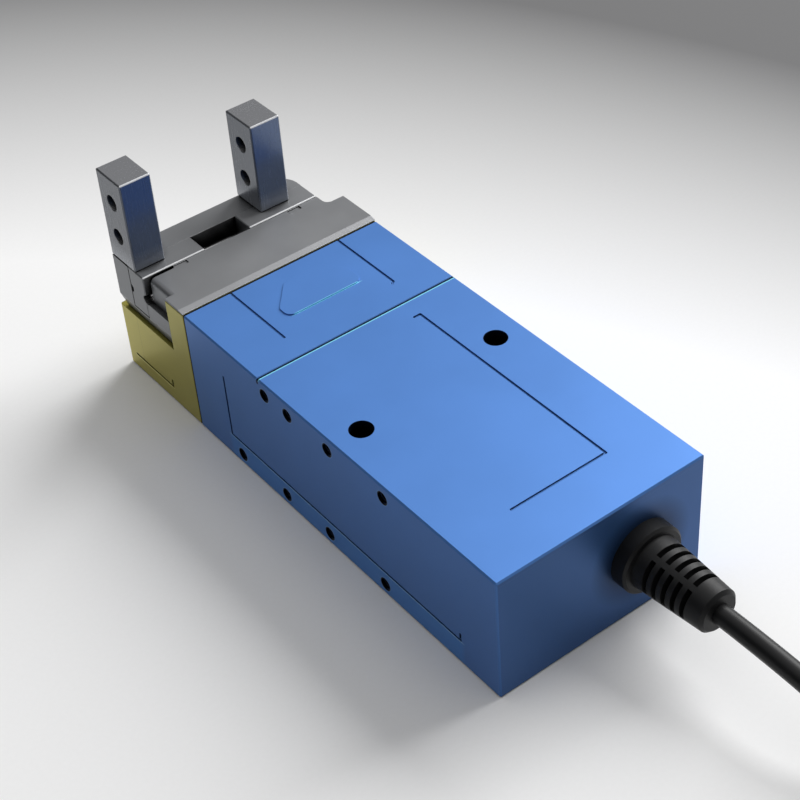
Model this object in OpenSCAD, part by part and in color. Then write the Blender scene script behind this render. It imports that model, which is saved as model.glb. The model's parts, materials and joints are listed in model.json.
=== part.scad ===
// Electric two finger gripper.
// X is the width and the jaw travel, Y the long axis with the jaws at +Y, Z is up.
// The origin is under the middle of the gripper, on the face that it rests on.

/* [Body] */
// Width of the body, across the jaw travel
body_w = 60; // [58:0.5:70]
// Length of the blue motor housing
body_len = 121; // [118:0.5:140]
// Height of the blue motor housing
body_h = 36; // [35.5:0.5:44]
// Thickness of the two top covers
cover_t = 1.5; // [1.2:0.1:2]
// Length of the front top cover
front_cover_len = 32.5; // [31:0.5:36]
// Chamfer on the edges of the housing and covers
edge = 0.4; // [0.2:0.05:0.8]
// Width of the V joint between the two covers
joint_w = 0.9; // [0.5:0.1:1.4]
// Width of the engraved panel lines
line_w = 0.7; // [0.4:0.1:1.2]
// Depth of the engraved panel lines
line_depth = 0.45; // [0.2:0.05:0.8]
// Thickness of the rear wall that holds the cable gland
rear_wall = 5; // [4:0.5:7]

/* [Mounting] */
// Bore of the two mounting holes through the body
mount_bore = 6; // [4:0.1:6.6]
// Distance across the body between the two mounting holes
mount_span = 44; // [42:0.5:45]
// Distance along the body between the two mounting holes
mount_stagger = 5; // [0:0.5:6]
// Distance of the middle of the two mounting holes from the rear face
mount_from_rear = 60; // [57:0.5:62]
// Bore of the threaded holes in the two sides
side_bore = 3.3; // [2.5:0.1:3.6]
// Depth of the threaded holes in the two sides
side_depth = 4.4; // [3:0.1:4.6]
// Distance of the two rows of side holes from the top and the bottom
side_row_in = 3.7; // [3.4:0.1:4.4]

/* [Head] */
// Length of the head, past the blue housing
head_len = 35; // [34:0.5:38]
// Length of the upright part of the head block next to the housing
upright_len = 8.5; // [7.5:0.5:9.5]
// Height of the head block under the jaw guide
block_h = 20; // [19.5:0.1:20.2]
// Length of the head cover that closes the front of the head block
head_cover_len = 8; // [7.5:0.5:9]
// How far the jaw guide stands above the top of the body
guide_rise = 0.5; // [0.3:0.1:1]
// Distance of the narrow end of the jaw guide from the side of the body
guide_notch = 5.5; // [4:0.5:6]
// Length of the full width part of the jaw guide
guide_wide_len = 14.5; // [13:0.5:16]
// Width of the slot that the jaws slide in
slot_w = 7.5; // [7.3:0.1:8]
// Distance of the jaw slot from the front face
slot_from_front = 8.5; // [8.4:0.1:9]
// Diameter of the two guide rods
rod_d = 2.5; // [2:0.1:2.8]
// Height of the guide rods above the bottom of the jaw slot
rod_up = 6; // [5.5:0.1:7]

/* [Jaws] */
// Travel of each jaw
stroke = 6.5; // [3:0.1:6.6]
// Free length between the two carriages when the jaws are open
carriage_gap = 14; // [13.6:0.1:16]
// How far the carriages stand above the jaw guide
carriage_rise = 0.3; // [0.25:0.05:0.6]
// Clearance between a carriage and the walls of its slot
slide_gap = 0.08; // [0.04:0.01:0.12]
// Radial clearance between a carriage and a guide rod
rod_gap = 0.05; // [0.02:0.01:0.09]
// Distance between the fingers when the jaws are open
grip_open = 30; // [28:0.5:32]
// Width of a finger along the jaw travel
finger_w = 9; // [8:0.5:10]
// Depth of a finger along the body
finger_depth = 11.6; // [10.5:0.1:12]
// Height of a finger above its carriage
finger_h = 26.3; // [24:0.1:60]
// Bore of the two cross holes in each finger
finger_bore = 4.5; // [3:0.1:5]
// Height of the lower cross hole above the carriage
finger_hole_up = 8.3; // [7:0.1:9]
// Distance between the cross holes
finger_hole_pitch = 10.3; // [8:0.1:12]

/* [Drive] */
// Distance of the drive axis from the middle of the body
drive_side = 4; // [3.5:0.1:4.2]
// Height of the drive axis
drive_z = 16; // [16:0.05:16.1]
// Tooth module of all the gears and racks
tooth_module = 0.6; // [0.58:0.005:0.61]
// How much thinner each tooth is than half its pitch
backlash = 0.06; // [0.04:0.01:0.12]
// Diameter of the output shaft
shaft_d = 6; // [5:0.1:6.2]
// Diameter of the planet pins
pin_d = 2; // [1.6:0.1:2.4]
// Radial clearance of a gear on its pin
pin_gap = 0.03; // [0.02:0.01:0.06]
// Width of the planet gears
planet_w = 8; // [6:0.5:9]
// Thickness of the teeth bars under the jaws, below their teeth
rack_t = 2.5; // [2.4:0.1:2.55]

/* [Motor] */
// Outer diameter of the motor and of its gearbox
motor_d = 27; // [26.5:0.1:27.4]
// Length of the motor can
can_len = 34; // [32:0.5:36]
// Wall of the motor can
can_wall = 1; // [0.6:0.1:1.4]
// Length of the stator core
stator_len = 22; // [16:0.5:24]
// Bore of the stator core
stator_bore = 15; // [14.6:0.1:16]
// Teeth of the stator core
stator_slots = 9; // [6:3:12]
// Air gap between the stator and the rotor magnet
air_gap = 0.5; // [0.3:0.05:0.7]
// Diameter of the motor shaft
motor_shaft_d = 3; // [2.5:0.1:3.2]

/* [Electronics] */
// Thickness of the body beside the compartment in its rear
bay_wall = 8; // [7.75:0.25:9]
// Length of the compartment in the rear of the body
bay_len = 29; // [27:0.5:30]
// Floor under the compartment
bay_floor = 4; // [3:0.5:6]
// Height of the circuit board above that floor
board_up = 5; // [4:0.5:7]
// Thickness of the circuit boards
board_t = 1.6; // [1:0.1:2]

/* [Cable] */
// Diameter of the cable
cable_d = 5; // [4.6:0.1:5.2]
// Distance of the cable from the middle of the body
cable_side = 11.2; // [8:0.1:12]
// Height of the cable above the resting face
cable_z = 18.3; // [17:0.1:19]
// Diameter of the round flange at the root of the strain relief
flange_d = 17.8; // [16:0.1:20]
// Thickness of that flange
flange_t = 4.2; // [3:0.1:5]
// Diameter of the strain relief next to the flange
relief_root_d = 14; // [13:0.1:15]
// Diameter of the strain relief at its free end
relief_end_d = 11.2; // [10.4:0.1:12]
// Length of the strain relief past the flange
relief_len = 20.3; // [18:0.1:24]
// Rows of slots in the strain relief
relief_rows = 5; // [3:1:5]
// Width of each slot in the strain relief
relief_slot = 1.3; // [0.8:0.1:1.4]
// Outer diameter of the plug body
plug_d = 14; // [13:0.5:15]
// Length of the plug body
plug_len = 26; // [24:1:32]

/* [Hidden] */

$fn = 64;
eps = 0.01;

// ---- places along the gripper ----
back_y = -(body_len + head_len) / 2;
front_y = back_y + body_len;
nose_y = front_y + head_len;
half_w = body_w / 2;
deck_z = body_h - cover_t;
seam_y = front_y - front_cover_len;
guide_top = body_h + guide_rise;
carriage_top = guide_top + carriage_rise;
upright_y = front_y + upright_len;
cover_y = nose_y - head_cover_len;
slot_y1 = nose_y - slot_from_front;
slot_y0 = slot_y1 - slot_w;
guide_front_y = nose_y - 1;
guide_end_x = half_w - guide_notch;
slot_floor = block_h + 4;
rod_z = slot_floor + rod_up;
drive_x = -drive_side;

// ---- mounting holes ----
mount_mid_y = back_y + mount_from_rear;
mount_holes = [
    [-mount_span / 2, mount_mid_y - mount_stagger / 2],
    [mount_span / 2, mount_mid_y + mount_stagger / 2]];
upper_side_holes = [39.5, 60.5, 76.5, 86];
lower_side_holes = [41.5, 63.5, 81.5, 101];

// ---- fasteners ----
m2 = 2;
m25 = 2.5;
m3 = 3;
head_ratio = 1.8;
hole_gap = 0.1;
counterbore_gap = 0.25;
cover_screw_x = half_w - 3.5;
rear_cover_screw_y = [back_y + 10, seam_y - 18.5];
front_cover_screw_y = [seam_y + 5, front_y - 7];
cover_screw_y = concat(rear_cover_screw_y, front_cover_screw_y);
boss_d = 5;
boss_h = 4;
boss_gap = 0.15;
head_screw_x = half_w - 4;
head_screw_z = [4.8, block_h - 4.8];
guide_screw_y = [upright_y + 5, nose_y - 4.6];
guide_screw_in = 10;
guide_screw_x = [
    [-half_w + guide_screw_in, half_w - guide_screw_in],
    [-half_w + guide_screw_in, half_w - guide_screw_in - 3]];

// ---- jaws ----
left_in_x = drive_x - carriage_gap / 2;
right_in_x = drive_x + carriage_gap / 2;
left_out_x = -half_w;
right_out_x = guide_end_x - 0.1;
carriage_y0 = slot_y0 + slide_gap;
carriage_y1 = slot_y1 - slide_gap;
carriage_z0 = slot_floor + 0.1;
finger_y1 = guide_front_y;
finger_y0 = finger_y1 - finger_depth;
left_finger_x = left_out_x;
right_finger_x = left_finger_x + finger_w + grip_open;
finger_screw_y = finger_y0 + 1.6;
finger_screw_in = 2.4;

// ---- gears ----
pressure_angle = 20;
pinion_teeth = 16;
sun_teeth = 12;
planet_teeth = 12;
addendum = 0.9 * tooth_module;
dedendum = 1.15 * tooth_module;
ring_addendum = 0.6 * tooth_module;
ring_teeth = sun_teeth + 2 * planet_teeth;
pinion_r = tooth_module * pinion_teeth / 2;
planet_orbit = tooth_module * (sun_teeth + planet_teeth) / 2;
planet_angles = [0, 120, 240];
pinion_y0 = slot_y0 + 0.4;
pinion_y1 = slot_y1 - 0.4;
rack_split = 0.5;
rack_w = (pinion_y1 - pinion_y0 - rack_split) / 2;
left_rack_y = pinion_y0;
right_rack_y = pinion_y1 - rack_w;
left_pitch_z = drive_z + pinion_r;
right_pitch_z = drive_z - pinion_r;
rack_past = 5;
left_rack_x0 = left_out_x + 2.5;
right_rack_x0 = drive_x - rack_past;
right_rack_x1 = guide_end_x - 2;
leg_len = 4;
leg_x0 = right_rack_x1 - leg_len;
left_plain = 11.5;
right_plain = 9;
rack_stop = 0.5;
hub_d = 10;
hub_len = 4.6;

// ---- drive train along the axis ----
bearing_d = 13;
bearing_w = 5;
journal_d = 4;
end_bearing_d = 7;
end_bearing_w = 2.5;
small_bearing_d = 8;
small_bearing_w = 3;
drive_bore = motor_d + 0.1;
gear_plate_y0 = front_y - 11.4;
gear_plate_len = 11.2;
ring_len = 15.6;
ring_y0 = gear_plate_y0 - ring_len;
planet_y0 = ring_y0 + 2.4;
carrier_t = 3.4;
carrier_y0 = planet_y0 + planet_w + 0.4;
motor_plate_t = 4;
motor_plate_y0 = ring_y0 - motor_plate_t;
can_y0 = motor_plate_y0 - can_len;
rear_cap_t = 4;
rear_cap_y0 = can_y0 - rear_cap_t;
stator_y0 = can_y0 + (can_len - stator_len) / 2;
disc_t = 1.2;
disc_y0 = rear_cap_y0 - 4.6;
encoder_y0 = disc_y0 - 2.6;
shaft_end_y = cover_y + end_bearing_w + 0.6;

// ---- electronics bay ----
bay_w = body_w - 2 * bay_wall;
bay_y0 = back_y + rear_wall;
bay_y1 = bay_y0 + bay_len;
bore_back_y = bay_y1 - 0.5;
board_w = bay_w - 4;
board_len = 22;
board_y0 = bay_y0 + 3.5;
board_z = bay_floor + board_up;

// ---- cable ----
cable_x = cable_side;
relief_y0 = back_y - flange_t;
relief_y1 = relief_y0 - relief_len;
gland_d = 10;
lead_gap = 0.02;
cable_sides = 10;
coil_center = [6, -182];
coil_bottom = [23, 28, 33];
coil_top_z = 9.35;
cable_route = [
    [11.2, -102.5, 18.3], [11.2, -114, 18.3], [11.7, -126, 17.1], [13.9, -137, 12.9],
    [18.6, -146.6, 7.3], [25.3, -154.8, 3.4], [31.3, -160.8, 2.5]];
tail_route = [
    [14, -211.5, 7.6], [6, -212.5, 9.6], [-4.4, -210.7, 13.4], [-11, -206.9, 14.9],
    [-15.9, -201, 15.9], [-18.5, -193.8, 16.35], [-19, -190, 16.4]];
plug_x = -19;
plug_y0 = -190;
plug_gap = 0.05;
plug_z = coil_top_z + plug_gap + plug_d / 2;

// ---------------------------------------------------------------- helpers

// A cylinder along +Y that starts at y.
module y_rod(x, y, z, d, len) {
    translate([x, y, z])
        rotate([-90, 0, 0])
            cylinder(d = d, h = len);
}

// The same cylinder on the drive axis.
module on_axis(y, d, len) {
    y_rod(drive_x, y, drive_z, d, len);
}

// A cylinder along +X that starts at x.
module x_rod(x, y, z, d, len) {
    translate([x, y, z])
        rotate([0, 90, 0])
            cylinder(d = d, h = len);
}

module z_rod(x, y, z, d, len) {
    translate([x, y, z])
        cylinder(d = d, h = len);
}

// A box from its lowest corner to its highest corner.
module span(low, high) {
    translate(low)
        cube(high - low);
}

// A rectangle with its four corners cut off.
function cut_rect(a, b, c) = [
    [c, 0], [a - c, 0], [a, c], [a, b - c], [a - c, b], [c, b], [0, b - c], [0, c]];

// A box with every edge chamfered.
module chamfer_box(low, high, c) {
    s = high - low;
    translate(low)
        intersection() {
            linear_extrude(s.z) polygon(cut_rect(s.x, s.y, c));
            translate([0, s.y, 0])
                rotate([90, 0, 0]) linear_extrude(s.y) polygon(cut_rect(s.x, s.z, c));
            rotate([90, 0, 90]) linear_extrude(s.x) polygon(cut_rect(s.y, s.z, c));
        }
}

// A straight engraved line from a to b in the XY plane, with round ends.
module line_cut(a, b, w, depth) {
    d = b - a;
    translate([a.x, a.y, 0])
        rotate([0, 0, atan2(d.y, d.x)]) {
            translate([0, -w / 2, 0]) cube([norm(d), w, depth]);
            cylinder(d = w, h = depth, $fn = 24);
            translate([norm(d), 0, 0]) cylinder(d = w, h = depth, $fn = 24);
        }
}

module path_cut(points, w = line_w, depth = line_depth) {
    for (i = [0 : len(points) - 2]) line_cut(points[i], points[i + 1], w, depth + eps);
}

// A path in (y, z) cut into the left side face of the body, and its mirror image.
module side_path_cut(points) {
    for (m = [0, 1])
        mirror([m, 0, 0])
            translate([-half_w + line_depth, 0, 0])
                rotate([0, -90, 0])
                    path_cut([for (p = points) [p.y, p.x]]);
}

// A socket cap screw along +Z, with its head below z = 0.
module cap_screw(d, len) {
    head_d = head_ratio * d;
    difference() {
        union() {
            cylinder(d = d, h = len, $fn = 32);
            translate([0, 0, -d]) cylinder(d = head_d, h = d, $fn = 48);
        }
        translate([0, 0, -d - eps]) cylinder(d = 0.9 * d, h = 0.6 * d, $fn = 6);
    }
}

// The hole and the counterbore for such a screw. deep is how far the counterbore goes down.
module screw_hole(d, len, deep) {
    translate([0, 0, -eps]) cylinder(d = d + 2 * hole_gap, h = len + eps, $fn = 32);
    translate([0, 0, -deep])
        cylinder(d = head_ratio * d + 2 * counterbore_gap, h = deep, $fn = 48);
}

// The points of an external gear with a tooth centred on the +X axis.
function inv_angle(r, rb) = r <= rb ? 0 : sqrt(r * r / rb / rb - 1) * 180 / PI - acos(rb / r);
function gear_points(m, z, add, ded, thin) =
    let (
        r = m * z / 2,
        rb = r * cos(pressure_angle),
        half = 90 / z - thin / 2 / r * 180 / PI + inv_angle(r, rb),
        low = max(rb, r - ded),
        steps = 4,
        flank = [for (i = [0 : steps])
            let (q = low + (r + add - low) * i / steps) [q, half - inv_angle(q, rb)]],
        foot = [[r - ded, half - inv_angle(low, rb)]],
        side = r - ded < low - eps ? concat(foot, flank) : flank,
        n = len(side)
    )
    [for (t = [0 : z - 1], s = [0, 1], i = [0 : n - 1])
        let (p = s == 0 ? [side[i][0], -side[i][1]] : side[n - 1 - i], a = 360 * t / z + p[1])
        [p[0] * cos(a), p[0] * sin(a)]];

// A gear on an axis along +Y, turned so that angles run from +X towards +Z.
module y_gear(x, y, z, w, turn, points) {
    translate([x, y + w, z])
        rotate([90, 0, 0])
            linear_extrude(w)
                rotate(turn) polygon(points);
}

// The profile of a rack in the XZ plane: teeth point up, the pitch line is z = 0, and a
// tooth is centred on x = 0. The teeth fill from x0 to x1 and the bar goes from bar0 to bar1.
function rack_points(x0, x1, bar0, bar1, t) =
    let (
        pitch = PI * tooth_module,
        half = pitch / 4 - backlash / 2,
        lean = tan(pressure_angle),
        first = ceil((x0 + half + lean * dedendum) / pitch),
        last = floor((x1 - half - lean * dedendum) / pitch)
    )
    concat(
        [[bar1, -dedendum - t], [bar0, -dedendum - t], [bar0, -dedendum]],
        [for (i = [first : last], e = [[-1, -1], [-1, 1], [1, 1], [1, -1]])
            let (z = e[1] < 0 ? -dedendum : addendum)
            [i * pitch + e[0] * (half - z * lean), z]],
        [[bar1, -dedendum]]);

// A tube swept along a list of points, with flat ends that face along the first and last step.
function unit(v) = v / norm(v);
function heading(p, i) =
    i == 0 ? unit(p[1] - p[0]) :
    i == len(p) - 1 ? unit(p[i] - p[i - 1]) :
    unit(unit(p[i + 1] - p[i]) + unit(p[i] - p[i - 1]));
module swept_tube(route, d, first, last) {
    n = len(route);
    ends = [for (i = [0 : n - 1]) i == 0 ? first : i == n - 1 ? last : heading(route, i)];
    rings = [for (i = [0 : n - 1], k = [0 : cable_sides - 1])
        let (
            side = unit(cross(ends[i], [0, 0, 1])),
            up = cross(side, ends[i]),
            a = 360 * k / cable_sides
        )
        route[i] + d / 2 * (cos(a) * side + sin(a) * up)];
    walls = [for (i = [0 : n - 2], k = [0 : cable_sides - 1])
        let (j = (k + 1) % cable_sides, a = i * cable_sides)
        [a + k, a + cable_sides + k, a + cable_sides + j, a + j]];
    cap0 = [for (k = [0 : cable_sides - 1]) k];
    cap1 = [for (k = [cable_sides - 1 : -1 : 0]) (n - 1) * cable_sides + k];
    polyhedron(rings, concat(walls, [cap0, cap1]));
}

// A ball bearing on the drive axis: two rings and the balls between them.
module ball_bearing(y, bore, outer, w, balls) {
    mid = (bore + outer) / 4;
    ball = (outer - bore) * 0.22;
    wall = (outer - bore) * 0.14;
    for (ring = [[outer, outer - 2 * wall], [bore + 2 * wall, bore]])
        difference() {
            on_axis(y, ring[0], w);
            on_axis(y - eps, ring[1], w + 2 * eps);
            translate([drive_x, y + w / 2, drive_z])
                rotate([90, 0, 0])
                    rotate_extrude() translate([mid, 0]) circle(d = ball + 0.04, $fn = 24);
        }
    for (k = [0 : balls - 1])
        translate([drive_x + mid * cos(360 * k / balls), y + w / 2,
                   drive_z + mid * sin(360 * k / balls)])
            sphere(d = ball, $fn = 24);
}

// ---------------------------------------------------------------- housing

module envelope() {
    chamfer_box([-half_w, back_y, 0], [half_w, front_y, body_h], edge);
}

module mount_bores(z0, z1) {
    for (p = mount_holes) z_rod(p.x, p.y, z0, mount_bore, z1 - z0);
}

// The seal groove under a cover, as a thin rectangular frame.
module seal_ring(x, y0, y1, w, z0, z1) {
    difference() {
        span([-x, y0, z0], [x, y1, z1]);
        span([-x + w, y0 + w, z0 - eps], [x - w, y1 - w, z1 + eps]);
    }
}

seal_w = 1.2;
seal_depth = 0.8;
front_bay = [[-18, seam_y + 7], [10, front_y - 5]];
duct_w = 2;
duct_depth = 4;
module rear_seal_shape(grow = 0) {
    seal_ring(bay_w / 2 + seal_w + grow, bay_y0 - seal_w - grow, bay_y1 + seal_w + grow,
        seal_w + grow, deck_z - seal_depth, deck_z);
}
module front_seal_shape(grow = 0) {
    translate([(front_bay[0].x + front_bay[1].x) / 2, 0, 0])
        seal_ring((front_bay[1].x - front_bay[0].x) / 2 + seal_w + grow,
            front_bay[0].y - seal_w - grow, front_bay[1].y + seal_w + grow,
            seal_w + grow, deck_z - seal_depth, deck_z);
}

module main_housing() {
    color("royalblue")
    difference() {
        intersection() {
            envelope();
            span([-half_w, back_y, 0], [half_w, front_y, deck_z]);
        }
        // bore for the motor and the gearbox, open at the front
        on_axis(bore_back_y, drive_bore, front_y - bore_back_y + eps);
        // electronics bay, a sensor recess and the wire duct between them
        span([-bay_w / 2, bay_y0, bay_floor], [bay_w / 2, bay_y1, deck_z + eps]);
        span([front_bay[0].x, front_bay[0].y, deck_z - duct_depth],
            [front_bay[1].x, front_bay[1].y, deck_z + eps]);
        span([-duct_w / 2, bay_y1 - eps, deck_z - duct_depth],
            [duct_w / 2, front_bay[0].y + 4, deck_z + eps]);
        rear_seal_shape(lead_gap);
        front_seal_shape(lead_gap);
        mount_bores(-eps, deck_z + eps);
        side_holes();
        // cover screws from below, and the pockets for the bosses of the covers
        for (x = [-cover_screw_x, cover_screw_x], y = cover_screw_y) {
            translate([x, y, m25 + 0.5]) screw_hole(m25, deck_z, m25 + 0.5 + eps);
            z_rod(x, y, deck_z - boss_h - 0.1, boss_d + 2 * boss_gap, boss_h + 1);
        }
        // threads for the head screws
        for (x = [-head_screw_x, head_screw_x], z = head_screw_z)
            y_rod(x, front_y - 5, z, m3 + 2 * hole_gap, 5 + eps);
        // cable entry
        y_rod(cable_x, back_y - eps, cable_z, gland_d + 0.2, rear_wall + 2 * eps);
        side_path_cut([[seam_y + 16.5, 26.2], [seam_y + 16.5, 7.5], [back_y + 13.5, 7.5],
            [back_y + 13.5, 9.5]]);
    }
}

module side_holes() {
    for (m = [0, 1])
        mirror([m, 0, 0]) {
            for (y = upper_side_holes)
                x_rod(-half_w - eps, back_y + y, body_h - side_row_in, side_bore, side_depth);
            for (y = lower_side_holes)
                x_rod(-half_w - eps, back_y + y, side_row_in - 0.5, side_bore, side_depth);
        }
}

// One top cover from y0 to y1, with its screw bosses.
module top_cover(y0, y1, screw_y) {
    difference() {
        union() {
            intersection() {
                envelope();
                span([-half_w, y0, deck_z], [half_w, y1, body_h]);
            }
            for (x = [-cover_screw_x, cover_screw_x], y = screw_y)
                z_rod(x, y, deck_z - boss_h, boss_d, boss_h + cover_t / 2);
        }
        for (x = [-cover_screw_x, cover_screw_x], y = screw_y)
            z_rod(x, y, deck_z - boss_h - eps, m25 + 2 * hole_gap, boss_h + 0.6);
        // the V joint between the two covers
        translate([-half_w - eps, seam_y, body_h + eps])
            rotate([90, 0, 90])
                linear_extrude(body_w + 2 * eps)
                    polygon([[-joint_w / 2, 0], [joint_w / 2, 0], [0, -joint_w / 2]]);
    }
}

module rear_top_cover() {
    panel_x = 14.2;
    panel_y0 = back_y + 15;
    panel_y1 = seam_y - 6.5;
    color("dodgerblue")
    difference() {
        top_cover(back_y, seam_y - 0.05, rear_cover_screw_y);
        mount_bores(deck_z - eps, body_h + eps);
        translate([0, 0, body_h - line_depth])
            path_cut([[panel_x - 1.8, panel_y1], [panel_x, panel_y1], [panel_x, panel_y0],
                [-panel_x + 1, panel_y0]]);
    }
}

module front_top_cover() {
    line_y = front_y - front_line_len;
    color("dodgerblue")
    difference() {
        top_cover(seam_y + 0.05, front_y, front_cover_screw_y);
        translate([0, 0, body_h - line_depth]) {
            path_cut([[1.4 - front_line_x, front_y + 1], [1.4 - front_line_x, line_y]]);
            path_cut([[front_line_x, front_y + 1], [front_line_x, line_y],
                [front_line_x - 0.8, line_y - 0.6]]);
        }
    }
    color("dodgerblue")
    translate([0, front_y, body_h - pad_root])
        linear_extrude(pad_root + pad_rise) polygon(rounded(pad_corners, 2.2));
}

front_line_len = 24;
front_line_x = 17.4;
pad_root = 0.6;
pad_rise = 0.35;

// The outline of the low raised pad on the front cover, from the front edge of the body.
pad_corners = [[-10.6, -18.4], [12, -18.4], [12, -11.6], [7.6, -6], [-3.6, -6], [-10.6, -14.2]];

// A convex outline, counter-clockwise, with an arc of radius r at each corner.
function rounded(p, r, steps = 6) = [
    for (i = [0 : len(p) - 1])
        let (
            n = len(p),
            a = unit(p[(i + n - 1) % n] - p[i]),
            b = unit(p[(i + 1) % n] - p[i]),
            half = acos(a * b) / 2,
            center = p[i] + unit(a + b) * r / sin(half),
            from = atan2(a.x, -a.y),
            turn = 180 - 2 * half
        )
        for (k = [0 : steps])
            center + r * [cos(from + turn * k / steps), sin(from + turn * k / steps)]];

module rear_cover_seal() {
    color("dimgray") rear_seal_shape();
}

module front_cover_seal() {
    color("dimgray") front_seal_shape();
}

module cover_screws() {
    color("silver")
    for (x = [-cover_screw_x, cover_screw_x], y = cover_screw_y)
        translate([x, y, m25 + 0.5]) cap_screw(m25, deck_z - m25 - 0.6);
}

// ---------------------------------------------------------------- head

head_line_y = 12.6;
module head_side_line() {
    side_path_cut([[front_y + head_line_y, 7], [front_y + head_line_y, 5], [nose_y - 4, 5]]);
}

module head_screw_holes() {
    for (x = [-head_screw_x, head_screw_x], z = head_screw_z)
        translate([x, nose_y - m3 - 0.4, z])
            rotate([90, 0, 0])
                screw_hole(m3, head_len, m3 + 0.4 + eps);
}

module guide_screw_holes() {
    for (i = [0, 1], x = guide_screw_x[i])
        translate([x, guide_screw_y[i], m3 + 0.5]) screw_hole(m3, block_h, m3 + 0.5 + eps);
}

module head_block() {
    color("darkkhaki")
    difference() {
        intersection() {
            chamfer_box([-half_w, front_y, 0], [half_w, nose_y + 5, body_h], edge);
            union() {
                span([-half_w, front_y, 0], [half_w, cover_y, block_h]);
                span([-half_w, front_y, 0], [half_w, upright_y, body_h]);
            }
        }
        // way for the output shaft and the hub of the pinion
        on_axis(front_y - eps, shaft_d + 2, head_len);
        on_axis(slot_y0 - hub_len - 1.2, hub_d + 1.6, hub_len + 1.3);
        // room for the pinion, and for the lower rack with its leg
        on_axis(slot_y0 - eps, 2 * (pinion_r + addendum) + 1.2, cover_y - slot_y0 + 2 * eps);
        span([right_rack_x0 - stroke - rack_stop, right_rack_y - 0.3,
            right_pitch_z - dedendum - rack_t - 0.3],
            [right_rack_x1 + rack_stop, cover_y + eps, right_pitch_z + addendum + 0.5]);
        span([leg_x0 - stroke - rack_stop, right_rack_y - 0.3, right_pitch_z],
            [right_rack_x1 + rack_stop, cover_y + eps, block_h + eps]);
        head_screw_holes();
        guide_screw_holes();
        head_side_line();
    }
}

module head_cover() {
    color("darkkhaki")
    difference() {
        intersection() {
            chamfer_box([-half_w, front_y, 0], [half_w, nose_y, body_h], edge);
            span([-half_w, cover_y, 0], [half_w, nose_y, block_h]);
        }
        on_axis(cover_y - eps, end_bearing_d, end_bearing_w + eps);
        on_axis(cover_y, journal_d + 1, end_bearing_w + 1.2);
        head_screw_holes();
        guide_screw_holes();
        head_side_line();
    }
}

module head_screws() {
    color("silver")
    for (x = [-head_screw_x, head_screw_x], z = head_screw_z)
        translate([x, nose_y - m3 - 0.4, z])
            rotate([90, 0, 0])
                cap_screw(m3, nose_y - m3 - 0.4 - front_y + 4.5);
}

// The plan of the jaw guide: wide next to the housing, narrow past the notch, with one
// round corner at the far end.
module guide_plan() {
    wide_y = front_y + guide_wide_len;
    corner = 6;
    fillet = 2;
    difference() {
        union() {
            translate([-half_w, front_y + 0.3])
                square([body_w, guide_wide_len - 0.3]);
            translate([-half_w, wide_y - eps])
                square([half_w + guide_end_x, guide_front_y - wide_y - corner + eps]);
            translate([-half_w, guide_front_y - corner - eps])
                square([half_w + guide_end_x - corner, corner + eps]);
            translate([guide_end_x - corner, guide_front_y - corner]) circle(r = corner);
            translate([guide_end_x - eps, wide_y - eps]) square([fillet, fillet]);
        }
        translate([guide_end_x + fillet, wide_y + fillet]) circle(r = fillet);
    }
}

// The set-back left end of the near guide wall, with a round top edge and a root fillet.
module guide_end_cut() {
    back = 1.5;
    ledge_z = rod_z - 1;
    r = 1.6;
    y0 = upright_y;
    translate([-half_w, y0, 0])
        rotate([90, 0, 0])
            mirror([0, 0, 1])
                linear_extrude(slot_y0 - y0 + eps)
                    difference() {
                        translate([-1, ledge_z]) square([back + r + 1, guide_top]);
                        translate([back, ledge_z - eps])
                            square([r + eps, guide_top - r - ledge_z + eps]);
                        translate([back + r, guide_top - r]) circle(r = r);
                    }
}

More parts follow.
